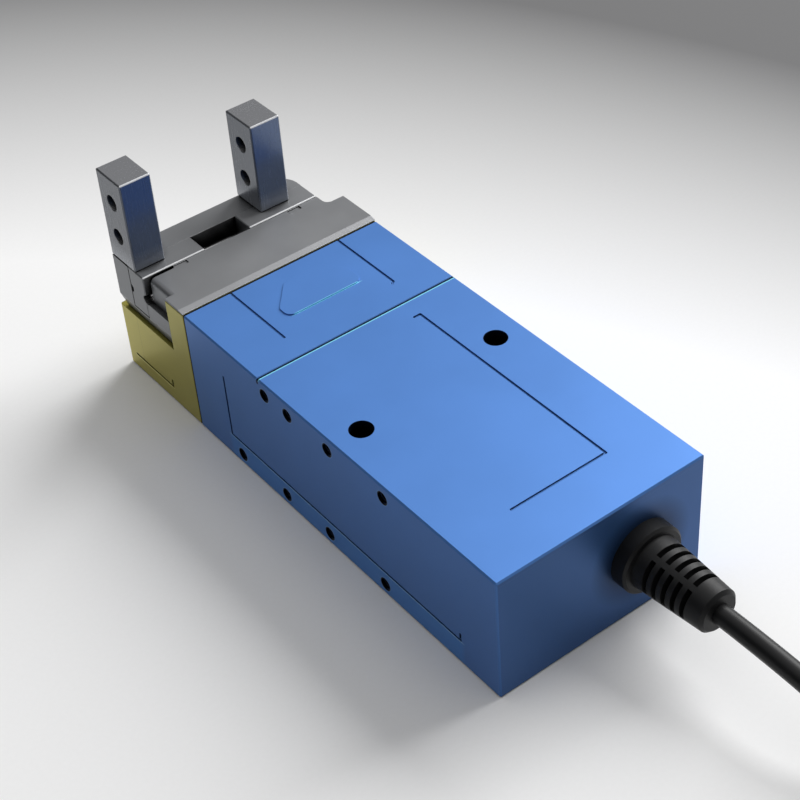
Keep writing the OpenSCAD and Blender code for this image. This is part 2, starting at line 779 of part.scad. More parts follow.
module jaw_guide() {
    rear_bevel = 2.2;
    foot_in = 1.2;
    foot_h = slot_floor - block_h;
    foot_bevel = [[-1, -1], [foot_in * (1 + 1 / foot_h), -1], [-1, foot_h * (1 + 1 / foot_in)]];
    color("silver")
    difference() {
        translate([0, 0, block_h])
            linear_extrude(guide_top - block_h) guide_plan();
        // seat over the upright of the head block
        span([-half_w - 1, front_y - 1, block_h - 1], [half_w + 1, upright_y, body_h]);
        // jaw slot, and the window in its floor for the racks
        span([-half_w - 1, slot_y0, slot_floor], [half_w + 1, slot_y1, guide_top + 1]);
        span([left_rack_x0 - rack_stop, slot_y0, block_h - 1],
            [right_rack_x1 + rack_stop, slot_y1, slot_floor + 1]);
        guide_end_cut();
        // relief slot at the left end of the near wall
        span([-half_w - 1, slot_y0 - 1.1, rod_z], [-half_w + 9, slot_y0 + eps, guide_top + 1]);
        x_rod(-half_w - 1, slot_y0 - 0.3, rod_z, rod_d + 0.1, 2.2);
        // seats of the guide rods
        for (y = [slot_y0, slot_y1])
            x_rod(-half_w + 1, y, rod_z, rod_d + 2 * lead_gap, body_w);
        // room for the hub of the pinion
        on_axis(slot_y0 - hub_len - 1.2, hub_d + 1.6, hub_len + 1.3);
        // steep bevel under the left end and the front, up to the floor of the slot
        translate([-half_w, nose_y + 1, block_h])
            rotate([90, 0, 0]) linear_extrude(head_len + 2) polygon(foot_bevel);
        translate([-half_w - 1, guide_front_y, block_h])
            rotate([90, 0, 90]) linear_extrude(body_w + 2) mirror([1, 0]) polygon(foot_bevel);
        // shallow bevel of the top edge next to the housing
        translate([-half_w - 1, front_y + rear_bevel, guide_top])
            rotate([0, 90, 0])
                linear_extrude(body_w + 2)
                    polygon([[-1, 0], [-1, -rear_bevel - 1], [guide_rise - 0.05, -rear_bevel - 1],
                        [guide_rise - 0.05, -rear_bevel], [0, 0]]);
        // threads of the guide screws
        for (i = [0, 1], x = guide_screw_x[i])
            z_rod(x, guide_screw_y[i], block_h - eps, m3 + 2 * hole_gap, 8);
        // shallow seats for the end stops of the carriages
        for (x = [-half_w + 9, guide_end_x - 10])
            span([x, slot_y0 - 1.6, guide_top - 0.3], [x + 4, slot_y0 - 0.2, guide_top + 1]);
    }
}

module guide_screws() {
    color("silver")
    for (i = [0, 1], x = guide_screw_x[i])
        translate([x, guide_screw_y[i], m3 + 0.5]) cap_screw(m3, block_h - m3 - 0.5 + 7);
}

module guide_rods() {
    color("lightgray")
    for (y = [slot_y0, slot_y1])
        x_rod(-half_w + 1.4, y, rod_z, rod_d, half_w + guide_end_x - 2.2);
}

// ---------------------------------------------------------------- jaws

// A carriage block from x0 to x1 with half round grooves that run on the guide rods.
module carriage_block(x0, x1) {
    difference() {
        chamfer_box([x0, carriage_y0, carriage_z0], [x1, carriage_y1, carriage_top], 0.25);
        for (y = [slot_y0, slot_y1])
            x_rod(x0 - 1, y, rod_z, rod_d + 2 * rod_gap, x1 - x0 + 2);
    }
}

function finger_screw_x(finger_x) =
    [finger_x + finger_screw_in, finger_x + finger_w - finger_screw_in];

module finger_screw_holes(finger_x) {
    for (x = finger_screw_x(finger_x))
        translate([x, finger_screw_y, carriage_z0 + m2 + 0.4])
            screw_hole(m2, 2 * carriage_top, m2 + 0.4 + carriage_top);
}

module left_carriage() {
    color("silver")
    difference() {
        carriage_block(left_out_x, left_in_x);
        finger_screw_holes(left_finger_x);
        rack_screw_holes(left_rack_screw_x, left_rack_y);
    }
}

module right_carriage() {
    color("silver")
    difference() {
        union() {
            carriage_block(right_in_x, right_out_x);
            span([leg_x0, right_rack_y, right_pitch_z - dedendum],
                [right_rack_x1, right_rack_y + rack_w, carriage_z0 + 1]);
        }
        finger_screw_holes(right_finger_x);
        z_rod(leg_x0 + leg_len / 2, right_rack_y + rack_w / 2, 0, m2 + 2 * hole_gap,
            right_pitch_z + 8);
    }
}

// A finger bar that stands on its carriage, with two cross holes.
module finger(x) {
    mid_y = (finger_y0 + finger_y1) / 2;
    difference() {
        chamfer_box([x, finger_y0, carriage_top], [x + finger_w, finger_y1,
            carriage_top + finger_h], 0.3);
        for (i = [0, 1])
            x_rod(x - 1, mid_y, carriage_top + finger_hole_up + i * finger_hole_pitch,
                finger_bore, finger_w + 2);
        for (sx = finger_screw_x(x))
            z_rod(sx, finger_screw_y, carriage_top - 1, m2 + 2 * hole_gap, 5.6);
    }
}

module left_finger() {
    color("slategray") finger(left_finger_x);
}

module right_finger() {
    color("slategray") finger(right_finger_x);
}

module finger_screws(finger_x) {
    color("gray")
    for (x = finger_screw_x(finger_x))
        translate([x, finger_screw_y, carriage_z0 + m2 + 0.4])
            cap_screw(m2, carriage_top - carriage_z0 - m2 - 0.4 + 4);
}

module left_finger_screws() {
    finger_screws(left_finger_x);
}

module right_finger_screws() {
    finger_screws(right_finger_x);
}

// ---------------------------------------------------------------- racks and pinion

left_rack_screw_x = [left_rack_x0 + 2.6, left_rack_x0 + 8.2];

module rack_screw_holes(xs, y) {
    for (x = xs)
        z_rod(x, y + rack_w / 2, left_pitch_z, m2 + 2 * hole_gap,
            carriage_z0 - left_pitch_z + 3.8);
}

module left_rack() {
    h = carriage_z0 - left_pitch_z - dedendum;
    color("dimgray")
    difference() {
        translate([drive_x, left_rack_y, left_pitch_z])
            mirror([0, 0, 1])
                translate([0, rack_w, 0])
                    rotate([90, 0, 0])
                        linear_extrude(rack_w)
                            polygon(rack_points(left_rack_x0 + left_plain - drive_x, rack_past,
                                left_rack_x0 - drive_x, rack_past, h));
        rack_screw_holes(left_rack_screw_x, left_rack_y);
        for (x = left_rack_screw_x)
            z_rod(x, left_rack_y + rack_w / 2, left_pitch_z, 3.1, dedendum + 0.9);
    }
}

module left_rack_screws() {
    color("gray")
    for (x = left_rack_screw_x) {
        z_rod(x, left_rack_y + rack_w / 2, left_pitch_z + dedendum + 0.1, 2.8, 0.8);
        z_rod(x, left_rack_y + rack_w / 2, left_pitch_z + dedendum + 0.8, m2, 5.4);
    }
}

module right_rack() {
    x = leg_x0 + leg_len / 2;
    color("dimgray")
    difference() {
        translate([drive_x, right_rack_y + rack_w, right_pitch_z])
            rotate([90, 0, 0])
                linear_extrude(rack_w)
                    polygon(rack_points(-rack_past, right_rack_x1 - right_plain - drive_x,
                        -rack_past, right_rack_x1 - drive_x, rack_t));
        z_rod(x, right_rack_y + rack_w / 2, 0, m2 + 2 * hole_gap, right_pitch_z);
        z_rod(x, right_rack_y + rack_w / 2, 0, 3.1, right_pitch_z - dedendum - rack_t + 1.1);
    }
}

module right_rack_screw() {
    x = leg_x0 + leg_len / 2;
    y = right_rack_y + rack_w / 2;
    z = right_pitch_z - dedendum - rack_t;
    color("gray") {
        z_rod(x, y, z + 0.1, 2.8, 0.9);
        z_rod(x, y, z + 0.9, m2, 8);
    }
}

module pinion() {
    color("goldenrod")
    difference() {
        union() {
            y_gear(drive_x, pinion_y0, drive_z, pinion_y1 - pinion_y0, 90 - 180 / pinion_teeth,
                gear_points(tooth_module, pinion_teeth, addendum, dedendum, backlash));
            on_axis(pinion_y0 - hub_len, hub_d, hub_len);
        }
        on_axis(pinion_y0 - hub_len - 1, shaft_d + 2 * lead_gap, 20);
        z_rod(drive_x, pinion_y0 - hub_len / 2, drive_z, m2 + 2 * lead_gap, hub_d);
    }
}

module pinion_set_screw() {
    color("dimgray")
    translate([drive_x, pinion_y0 - hub_len / 2, drive_z + shaft_d / 2 + 0.05])
        difference() {
            cylinder(d = m2, h = 1.9, $fn = 32);
            translate([0, 0, 1]) cylinder(d = 1, h = 1, $fn = 6);
        }
}

// ---------------------------------------------------------------- gearbox

// The turned carrier with its disc for the planet pins and the long output shaft.
module output_shaft() {
    color("lightsteelblue")
    difference() {
        union() {
            on_axis(carrier_y0, 2 * planet_orbit + 5, carrier_t);
            on_axis(carrier_y0, shaft_d, cover_y - 0.1 - carrier_y0);
            on_axis(carrier_y0, journal_d, shaft_end_y - carrier_y0);
            on_axis(carrier_y0 + carrier_t - eps, shaft_d + 2, 1.2);
        }
        for (a = planet_angles) planet_hole(a, pin_d + 2 * lead_gap, carrier_t + 2);
        on_axis(carrier_y0 - eps, motor_shaft_d + 1, 1);
    }
}

module planet_hole(a, d, len) {
    y_rod(drive_x + planet_orbit * cos(a), carrier_y0 - 1, drive_z + planet_orbit * sin(a), d, len);
}

module planet_pins() {
    color("gainsboro")
    for (a = planet_angles)
        y_rod(drive_x + planet_orbit * cos(a), planet_y0 - 0.4,
            drive_z + planet_orbit * sin(a), pin_d, carrier_y0 + carrier_t - planet_y0 + 0.4);
}

module planet_gear(a) {
    turn = a * (1 + sun_teeth / planet_teeth) + 180 - 180 / planet_teeth;
    color("darkgoldenrod")
    difference() {
        y_gear(drive_x + planet_orbit * cos(a), planet_y0, drive_z + planet_orbit * sin(a),
            planet_w, turn, gear_points(tooth_module, planet_teeth, addendum, dedendum, backlash));
        y_rod(drive_x + planet_orbit * cos(a), planet_y0 - 1,
            drive_z + planet_orbit * sin(a), pin_d + 2 * pin_gap, planet_w + 2);
    }
}

module planet_gear_1() {
    planet_gear(planet_angles[0]);
}

module planet_gear_2() {
    planet_gear(planet_angles[1]);
}

module planet_gear_3() {
    planet_gear(planet_angles[2]);
}

module sun_gear() {
    color("goldenrod")
    difference() {
        y_gear(drive_x, planet_y0 - 0.8, drive_z, planet_w + 0.8, 0,
            gear_points(tooth_module, sun_teeth, addendum, dedendum, backlash));
        on_axis(planet_y0 - 2, motor_shaft_d + 2 * lead_gap, planet_w + 4);
    }
}

module ring_gear() {
    ring_r = tooth_module * ring_teeth / 2;
    color("slategray")
    difference() {
        on_axis(ring_y0, motor_d, ring_len);
        y_gear(drive_x, ring_y0 - 1, drive_z, ring_len + 2, 180 / ring_teeth,
            gear_points(tooth_module, ring_teeth, dedendum, ring_addendum, -backlash));
        on_axis(planet_y0 + planet_w + 0.2, 2 * (ring_r + dedendum) + 0.4, ring_len);
    }
}

module gearbox_front_plate() {
    color("silver")
    difference() {
        on_axis(gear_plate_y0, motor_d, gear_plate_len);
        on_axis(gear_plate_y0 - eps, bearing_d - 2, gear_plate_len + 1);
        on_axis(gear_plate_y0 + gear_plate_len - bearing_w, bearing_d, bearing_w + eps);
    }
}

module output_bearing_rear() {
    color("lightgray")
    ball_bearing(gear_plate_y0 + gear_plate_len - bearing_w, shaft_d + 2 * lead_gap,
        bearing_d - 2 * lead_gap, bearing_w, 7);
}

module output_bearing_front() {
    color("lightgray")
    ball_bearing(cover_y, journal_d + 2 * lead_gap, end_bearing_d - 2 * lead_gap,
        end_bearing_w, 9);
}

// ---------------------------------------------------------------- motor

module motor_front_plate() {
    color("silver")
    difference() {
        on_axis(motor_plate_y0, motor_d, motor_plate_t);
        on_axis(motor_plate_y0 - eps, small_bearing_d, small_bearing_w + eps);
        on_axis(motor_plate_y0, motor_shaft_d + 2, motor_plate_t + 1);
    }
}

module motor_rear_cap() {
    color("silver")
    difference() {
        on_axis(rear_cap_y0, motor_d, rear_cap_t);
        on_axis(rear_cap_y0 + rear_cap_t - small_bearing_w, small_bearing_d,
            small_bearing_w + eps);
        on_axis(rear_cap_y0 - eps, motor_shaft_d + 2, rear_cap_t + 1);
    }
}

module motor_can() {
    color("dimgray")
    difference() {
        on_axis(can_y0, motor_d, can_len);
        on_axis(can_y0 - eps, motor_d - 2 * can_wall, can_len + 1);
    }
}

module motor_bearing_front() {
    color("lightgray")
    ball_bearing(motor_plate_y0, motor_shaft_d + 2 * lead_gap,
        small_bearing_d - 2 * lead_gap, small_bearing_w, 6);
}

module motor_bearing_rear() {
    color("lightgray")
    ball_bearing(rear_cap_y0 + rear_cap_t - small_bearing_w, motor_shaft_d + 2 * lead_gap,
        small_bearing_d - 2 * lead_gap, small_bearing_w, 6);
}

stator_d = motor_d - 2 * can_wall - 2 * lead_gap;
tooth_w = 2.4;
yoke = 1.8;
lip = 0.8;

module stator_core() {
    color("gray")
    difference() {
        on_axis(stator_y0, stator_d, stator_len);
        on_axis(stator_y0 - 1, stator_bore, stator_len + 2);
        for (k = [0 : stator_slots - 1])
            translate([drive_x, stator_y0 + stator_len + 1, drive_z])
                rotate([90, 0, 0])
                    linear_extrude(stator_len + 2)
                        rotate(360 * (k + 0.5) / stator_slots) slot_plan();
    }
}

// One winding slot: a narrow mouth at the bore and a wide pocket behind it.
module slot_plan() {
    a = 180 / stator_slots;
    r0 = stator_bore / 2 + lip;
    r1 = stator_d / 2 - yoke;
    h0 = r0 * sin(a) - tooth_w / 2;
    h1 = r1 * sin(a) - tooth_w / 2;
    polygon([[r0 * cos(a), -h0], [r1 * cos(a), -h1], [r1, 0], [r1 * cos(a), h1],
        [r0 * cos(a), h0]]);
    translate([stator_bore / 2 - 1, -0.4]) square([lip + 2, 0.8]);
}

module stator_windings() {
    r = (stator_bore / 2 + lip + stator_d / 2 - yoke) / 2 - 0.2;
    radial = stator_d / 2 - yoke - stator_bore / 2 - lip - 1.1;
    over = 2.2;
    color("chocolate")
    for (k = [0 : stator_slots - 1])
        translate([drive_x, stator_y0 + stator_len / 2, drive_z])
            rotate([0, -360 * k / stator_slots, 0])
                translate([r, 0, 0])
                    difference() {
                        cube([radial, stator_len + 2 * over, tooth_w + 1.3], center = true);
                        cube([radial + 1, stator_len + 0.1, tooth_w + 0.1], center = true);
                    }
}

module rotor_shaft() {
    y0 = disc_y0;
    color("gainsboro")
    on_axis(y0, motor_shaft_d, planet_y0 + planet_w - y0);
}

module rotor_magnet() {
    color("darkslategray")
    difference() {
        on_axis(stator_y0 - 1, stator_bore - 2 * air_gap, stator_len + 2);
        on_axis(stator_y0 - 2, motor_shaft_d + 2 * lead_gap, stator_len + 4);
    }
}

module encoder_disc() {
    color("lightgray")
    difference() {
        on_axis(disc_y0, disc_d, disc_t);
        on_axis(disc_y0 - 1, motor_shaft_d + 2 * lead_gap, disc_t + 2);
        for (k = [0 : 15])
            y_rod(drive_x + slit_r * cos(22.5 * k), disc_y0 - 1, drive_z + slit_r * sin(22.5 * k),
                1.2, disc_t + 2);
    }
    color("gray")
    difference() {
        on_axis(disc_y0 + disc_t, motor_shaft_d + 4, 1.6);
        on_axis(disc_y0, motor_shaft_d + 2 * lead_gap, disc_t + 2);
    }
}

disc_d = 18;
slit_r = 7;
encoder_board_d = 26;
encoder_post_r = 11;
encoder_post_angles = [45, 135, 225, 315];
module encoder_posts(y, d, len) {
    for (a = encoder_post_angles)
        y_rod(drive_x + encoder_post_r * cos(a), y, drive_z + encoder_post_r * sin(a), d, len);
}

module encoder_board() {
    color("darkgreen")
    difference() {
        on_axis(encoder_y0 - board_t, encoder_board_d, board_t);
        encoder_posts(encoder_y0 - board_t - 1, 1.6, board_t + 2);
    }
    color("black")
    span([drive_x + slit_r - 3, encoder_y0, drive_z - 2],
        [drive_x + slit_r + 1.6, encoder_y0 + 1.4, drive_z + 2]);
}

module encoder_spacers() {
    color("silver") {
        encoder_posts(encoder_y0, 3, rear_cap_y0 - encoder_y0);
        encoder_posts(encoder_y0 - board_t - 0.6, 1.5, board_t + 0.7);
        encoder_posts(encoder_y0 - board_t - 1.4, 3, 1.4);
    }
}

// ---------------------------------------------------------------- electronics

board_posts = [for (x = [-1, 1], y = [0, 1])
    [x * (board_w / 2 - 3), board_y0 + 3 + y * (board_len - 6)]];

module driver_board() {
    color("darkgreen")
    difference() {
        span([-board_w / 2, board_y0, board_z],
            [board_w / 2, board_y0 + board_len, board_z + board_t]);
        for (p = board_posts) z_rod(p.x, p.y, board_z - 1, 2.2, board_t + 2);
    }
}

chip_w = 5;
chip_pitch = 6.5;
controller_w = 7;
capacitor_d = 6;
connector_w = 7;
module driver_parts() {
    top = board_z + board_t;
    parts_x = board_w / 2 - 6;
    color("dimgray") {
        for (k = [-1 : 1])
            translate([k * chip_pitch - chip_w / 2, board_y0 + 12, top])
                cube([chip_w, chip_w, 1.4]);
        translate([-controller_w / 2 - 1, board_y0 + 2.5, top])
            cube([controller_w, controller_w, 1]);
    }
    color("silver") z_rod(capacitor_d / 2 + 2 - parts_x, board_y0 + 7.5, top, capacitor_d, 8);
    color("ivory")
    translate([parts_x - connector_w, board_y0 + 2, top]) cube([connector_w, 5, 5]);
}

module board_spacers() {
    color("silver")
    for (p = board_posts)
        difference() {
            z_rod(p.x, p.y, bay_floor, 4.4, board_up);
            z_rod(p.x, p.y, bay_floor + 0.6, 2.2, board_up);
        }
}

module board_screws() {
    color("gray")
    for (p = board_posts)
        translate([p.x, p.y, board_z + board_t])
            mirror([0, 0, 1]) cap_screw(m2, board_t + 3.6);
}

// ---------------------------------------------------------------- cable

module gland_nut() {
    color("silver")
    difference() {
        translate([cable_x, bay_y0 + 2.8, cable_z])
            rotate([90, 0, 0]) cylinder(d = 15, h = 2.8, $fn = 6);
        y_rod(cable_x, bay_y0 - 1, cable_z, gland_d + 2 * lead_gap, 6);
    }
}

module cable_flange() {
    color([0.12, 0.12, 0.13])
    difference() {
        union() {
            y_rod(cable_x, back_y - flange_t, cable_z, flange_d, flange_t);
            y_rod(cable_x, back_y - eps, cable_z, gland_d, rear_wall + 2.9);
        }
        y_rod(cable_x, back_y - flange_t - 1, cable_z, cable_d + 2 * lead_gap, 20);
        // seat of the strain relief
        y_rod(cable_x, back_y - flange_t - eps, cable_z, relief_root_d + 0.1, 1.6);
        translate([cable_x, back_y - flange_t, cable_z])
            rotate([90, 0, 0])
                rotate_extrude()
                    polygon([[flange_d / 2 - 0.6, 0.01], [flange_d / 2 + 1, 0.01],
                        [flange_d / 2 + 1, -1.59]]);
    }
}

// A tapered sleeve with rows of slots that let it bend.
module strain_relief() {
    collar = 3.6;
    neck = 3.2;
    pitch = (relief_len - collar - neck) / relief_rows;
    core_r = 3.5;
    color([0.12, 0.12, 0.13])
    translate([cable_x, relief_y0, cable_z])
        rotate([90, 0, 0])
            difference() {
                rotate_extrude()
                    polygon([[cable_d / 2 + lead_gap, -1.5], [relief_root_d / 2, -1.5],
                        [relief_root_d / 2, 0], [relief_end_d / 2, relief_len - 0.8],
                        [relief_end_d / 2 - 0.8, relief_len], [cable_d / 2 + lead_gap, relief_len]]);
                for (i = [0 : relief_rows - 1])
                    translate([0, 0, neck + i * pitch])
                        difference() {
                            cylinder(d = relief_root_d + 2, h = relief_slot);
                            translate([0, 0, -1])
                                cylinder(r = core_r, h = relief_slot + 2);
                            for (a = [0, 90])
                                rotate(a + 28)
                                    translate([-relief_root_d, -0.7, -1])
                                        cube([2 * relief_root_d, 1.4, relief_slot + 2]);
                        }
            }
}

module inner_lead() {
    color([0.1, 0.1, 0.1])
    y_rod(cable_x, relief_y1, cable_z, cable_d, bay_y0 + 4.5 - relief_y1);
}

module cable() {
    color([0.12, 0.12, 0.13]) swept_tube(cable_route, cable_d, [0, -1, 0], [0.64, -0.77, 0]);
}

module cable_coil() {
    r0 = coil_bottom[0] - cable_d / 2;
    r1 = coil_bottom[2] + cable_d / 2;
    color([0.12, 0.12, 0.13])
    difference() {
        translate([coil_center.x, coil_center.y, 0])
            rotate_extrude($fn = 96)
                polygon([[r0, 0], [r1, 0], [r1, cable_d], [r1 - cable_d / 2, coil_top_z],
                    [r0 + cable_d / 2, coil_top_z], [r0, cable_d]]);
        tie_band(0.02);
    }
}

module cable_tail() {
    color([0.12, 0.12, 0.13]) swept_tube(tail_route, cable_d, [-0.97, -0.26, 0], [0, 1, 0]);
}

// The tie round the coil, a flat band that crosses its turns on the +X side.
tie_w = 4;
tie_t = 0.8;
tie_head = [6, 5, 2.6];
module tie_band(grow = 0) {
    r0 = coil_bottom[0] - cable_d / 2;
    r1 = coil_bottom[2] + cable_d / 2;
    translate([coil_center.x, coil_center.y, 0])
        difference() {
            span([r0 - tie_t - grow, -tie_w / 2 - grow, -grow],
                [r1 + tie_t + grow, tie_w / 2 + grow, coil_top_z + tie_t]);
            span([r0 + grow, -tie_w, tie_t + grow],
                [r1 - grow, tie_w, coil_top_z - grow]);
        }
}

module cable_tie() {
    color("black") {
        tie_band();
        translate([coil_center.x + coil_bottom[1], coil_center.y, coil_top_z + tie_t])
            translate([-tie_head.x / 2, -tie_head.y / 2, 0]) cube(tie_head);
    }
}

// ---------------------------------------------------------------- plug

module plug_body() {
    color([0.15, 0.15, 0.16])
    translate([plug_x, plug_y0, plug_z])
        rotate([-90, 0, 0])
            difference() {
                rotate_extrude()
                    polygon([[0, 0], [3.4, 0], [3.9, 1], [plug_d / 2 - 1.6, 9],
                        [plug_d / 2 - 1.6, plug_len - 9], [plug_d / 2 - 2.4, plug_len - 9],
                        [plug_d / 2 - 2.4, plug_len], [0, plug_len]]);
                for (a = [0 : 45 : 315])
                    rotate(a) translate([2.6, 0, plug_len - 4]) cylinder(d = 1, h = 5, $fn = 16);
            }
}

module plug_ring() {
    notches = 18;
    ring_len = 11;
    color("silver")
    translate([plug_x, plug_y0 + plug_len - ring_len - 1, plug_z])
        rotate([-90, 0, 0])
            difference() {
                cylinder(d = plug_d, h = ring_len);
                translate([0, 0, -1]) cylinder(d = plug_d - 3.1, h = ring_len + 2);
                for (k = [0 : notches - 1])
                    rotate(360 * k / notches)
                        translate([plug_d / 2 + 0.25, 0, -1])
                            cylinder(d = 1.2, h = ring_len + 2, $fn = 16);
            }
}

main_housing();
rear_top_cover();
front_top_cover();
rear_cover_seal();
front_cover_seal();
cover_screws();
head_block();
head_cover();
head_screws();
jaw_guide();
guide_screws();
guide_rods();
left_carriage();
right_carriage();
left_finger();
right_finger();
left_finger_screws();
right_finger_screws();
left_rack();
right_rack();
left_rack_screws();
right_rack_screw();
pinion();
pinion_set_screw();
output_shaft();
output_bearing_front();
output_bearing_rear();
gearbox_front_plate();
ring_gear();
planet_gear_1();
planet_gear_2();
planet_gear_3();
planet_pins();
sun_gear();
motor_front_plate();
motor_can();
motor_rear_cap();
motor_bearing_front();
motor_bearing_rear();
stator_core();
stator_windings();
rotor_shaft();
rotor_magnet();
encoder_disc();
encoder_board();
encoder_spacers();
driver_board();
driver_parts();
board_spacers();
board_screws();
gland_nut();
cable_flange();
strain_relief();
inner_lead();
cable();
cable_coil();
cable_tail();
cable_tie();
plug_body();
plug_ring();
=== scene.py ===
"""Electric two finger gripper: finishes, free cable, screw threads and stage.

The part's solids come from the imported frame. This file gives each of them its
finish, lays the cable on the table as one smooth cord, sets thread turns into
the side holes, and sets up a pale table, a soft lamp, the room and the camera.
"""
import functools
import json
import math

import bmesh
import bpy
from bpy.props import FloatProperty, FloatVectorProperty, IntProperty, PointerProperty
from mathutils import Matrix, Vector


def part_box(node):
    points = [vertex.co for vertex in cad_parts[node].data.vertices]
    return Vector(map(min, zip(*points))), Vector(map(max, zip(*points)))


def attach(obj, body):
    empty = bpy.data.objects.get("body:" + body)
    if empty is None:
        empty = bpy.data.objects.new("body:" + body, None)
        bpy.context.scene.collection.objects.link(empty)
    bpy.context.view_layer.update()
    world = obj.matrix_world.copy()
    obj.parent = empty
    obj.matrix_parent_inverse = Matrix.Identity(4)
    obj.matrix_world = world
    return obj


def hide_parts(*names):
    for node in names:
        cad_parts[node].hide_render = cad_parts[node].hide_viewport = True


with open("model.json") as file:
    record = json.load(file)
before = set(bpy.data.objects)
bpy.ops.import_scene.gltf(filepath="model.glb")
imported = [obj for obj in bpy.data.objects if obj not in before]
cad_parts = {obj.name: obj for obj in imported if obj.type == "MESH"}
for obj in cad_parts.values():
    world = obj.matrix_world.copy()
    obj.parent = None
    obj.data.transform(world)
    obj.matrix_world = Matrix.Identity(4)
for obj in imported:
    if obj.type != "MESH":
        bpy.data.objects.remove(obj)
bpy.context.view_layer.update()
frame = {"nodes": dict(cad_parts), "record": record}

bl_info = {
    "name": "Two Finger Gripper",
    "version": (1, 0, 0),
    "blender": (4, 5, 0),
    "location": "View3D > Sidebar > Gripper",
    "description": "Finishes, cable and stage of an electric two finger gripper",
    "category": "Object",
}

NODES = frame["nodes"]
MM = 0.001


# ------------------------------------------------------ places on the gripper


def corners(name):
    """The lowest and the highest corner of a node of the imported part, in millimetres."""
    return [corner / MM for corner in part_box(name)]


def side_hole_places():
    """Y and Z of the tapped holes in one side, in millimetres, from the part's mounts."""
    places = []
    for mount in frame["record"]["mounts"]:
        if mount["name"].startswith("side_holes_left"):
            y, z = (value / MM for value in mount["pos_m"][1:])
            reach = mount["dims"]["spacing_x_mm"] / 2
            places += [(y - reach, z), (y + reach, z)]
    return places


SIDE_HOLES = side_hole_places()
SIDE_X = corners("main_housing")[1].x
HEAD_Y = corners("main_housing")[1].y
NOSE_Y = corners("head_cover")[1].y
SEAM_Y = corners("rear_top_cover")[1].y
BODY_TOP = corners("rear_top_cover")[1].z
CARRIAGE_REAR = corners("left_carriage")[0].y
CARRIAGE_TOP = corners("left_carriage")[1].z
FINGER_REAR = corners("left_finger")[0].y
FINGER_TOP = corners("left_finger")[1].z
CABLE_ENTRY = sum(corners("cable_flange"), Vector()) / 2

# Forms inside one node, in millimetres: the two through holes of the top (X and Y), the
# foot rail along each side (its top and its ends in Y), and the near edge of the raised
# pad on the front cover (its ends in X and its Y).
TOP_HOLES = [(-22, -20.5), (22, -15.5)]
RAIL_TOP = 7.5
RAIL_ENDS = (-64.5, 27)
PAD_ENDS = (-8.5, 10.5)
PAD_EDGE_Y = 24.6


# ------------------------------------------------------------------ settings


def length_prop(name, text, millimetres, low=0.0):
    """A size in metres, given here in millimetres."""
    return FloatProperty(
        name=name,
        description=text,
        default=millimetres * MM,
        min=low * MM,
        unit="LENGTH",
        subtype="DISTANCE",
        precision=5,
    )


def colour_prop(name, text, value):
    """A colour of a finish, in linear light."""
    return FloatVectorProperty(
        name=name,
        description=text,
        default=value,
        size=3,
        min=0.0,
        max=1.0,
        subtype="COLOR",
    )


def share_prop(name, text, value):
    """A number from 0 to 1."""
    return FloatProperty(
        name=name, description=text, default=value, min=0.0, max=1.0, subtype="FACTOR"
    )


def angle_prop(name, text, degrees):
    """An angle, given here in degrees."""
    return FloatProperty(
        name=name, description=text, default=math.radians(degrees), subtype="ANGLE"
    )


def place_prop(name, text, metres):
    """A place in the part's own frame."""
    return FloatVectorProperty(
        name=name, description=text, default=metres, size=3, unit="LENGTH",
        subtype="TRANSLATION",
    )


class GripperFinishSettings(bpy.types.PropertyGroup):
    """Colours and surface sizes of the gripper's finishes."""

    blue: colour_prop("Housing", "Blue anodised housing and covers", (0.101, 0.257, 0.654))
    gold: colour_prop("Head", "Olive gold anodised head block", (0.47, 0.425, 0.095))
    silver: colour_prop("Guide", "Bead blasted jaw guide and carriages", (0.30, 0.306, 0.318))
    finger: colour_prop("Fingers", "Satin ground steel fingers", (0.25, 0.26, 0.28))
    steel: colour_prop("Steel", "Ground rods, shafts and bearings", (0.62, 0.62, 0.63))
    dark_steel: colour_prop("Racks", "Hardened racks and ring gear", (0.16, 0.16, 0.17))
    bronze: colour_prop("Gears", "Hobbed pinion, sun and planets", (0.52, 0.35, 0.12))
    black: colour_prop("Cable", "Black jacket, sleeve and plug", (0.005, 0.0052, 0.0058))
    grain: length_prop("Blast grain", "Size of the grain on blasted metal", 0.25, 0.02)
    # The fine lines along edges are painted highlights and painted shade lines.
    edge_width: length_prop("Edge width", "Width of the fine lines along edges", 0.2)


class GripperCableSettings(bpy.types.PropertyGroup):
    """Sizes of the free cable."""

    diameter: length_prop("Diameter", "Outer diameter of the cable", 5, 1)
    turn_gap: length_prop("Turn spacing", "Distance between neighbouring turns", 5, 1)
    outer_radius: length_prop("Coil radius", "Radius of the outermost bottom turn", 33, 10)
    hump: length_prop("Hump", "Rise where a turn passes over another", 0.75)
    steps: IntProperty(
        name="Points per turn", description="Points along each turn", default=32, min=12
    )


class GripperThreadSettings(bpy.types.PropertyGroup):
    """Sizes of the thread turns in the side holes."""

    bore_radius: length_prop("Bore radius", "Radius of the drilled hole", 1.65, 0.5)
    pitch: length_prop("Pitch", "Distance between thread turns", 0.7, 0.2)
    depth: length_prop("Depth", "How far a thread stands into its hole", 0.24, 0.05)
    set_back: length_prop("Set back", "From the face of the housing to the first turn", 0.35)
    turns: IntProperty(name="Turns", description="Thread turns in each hole", default=5, min=1)


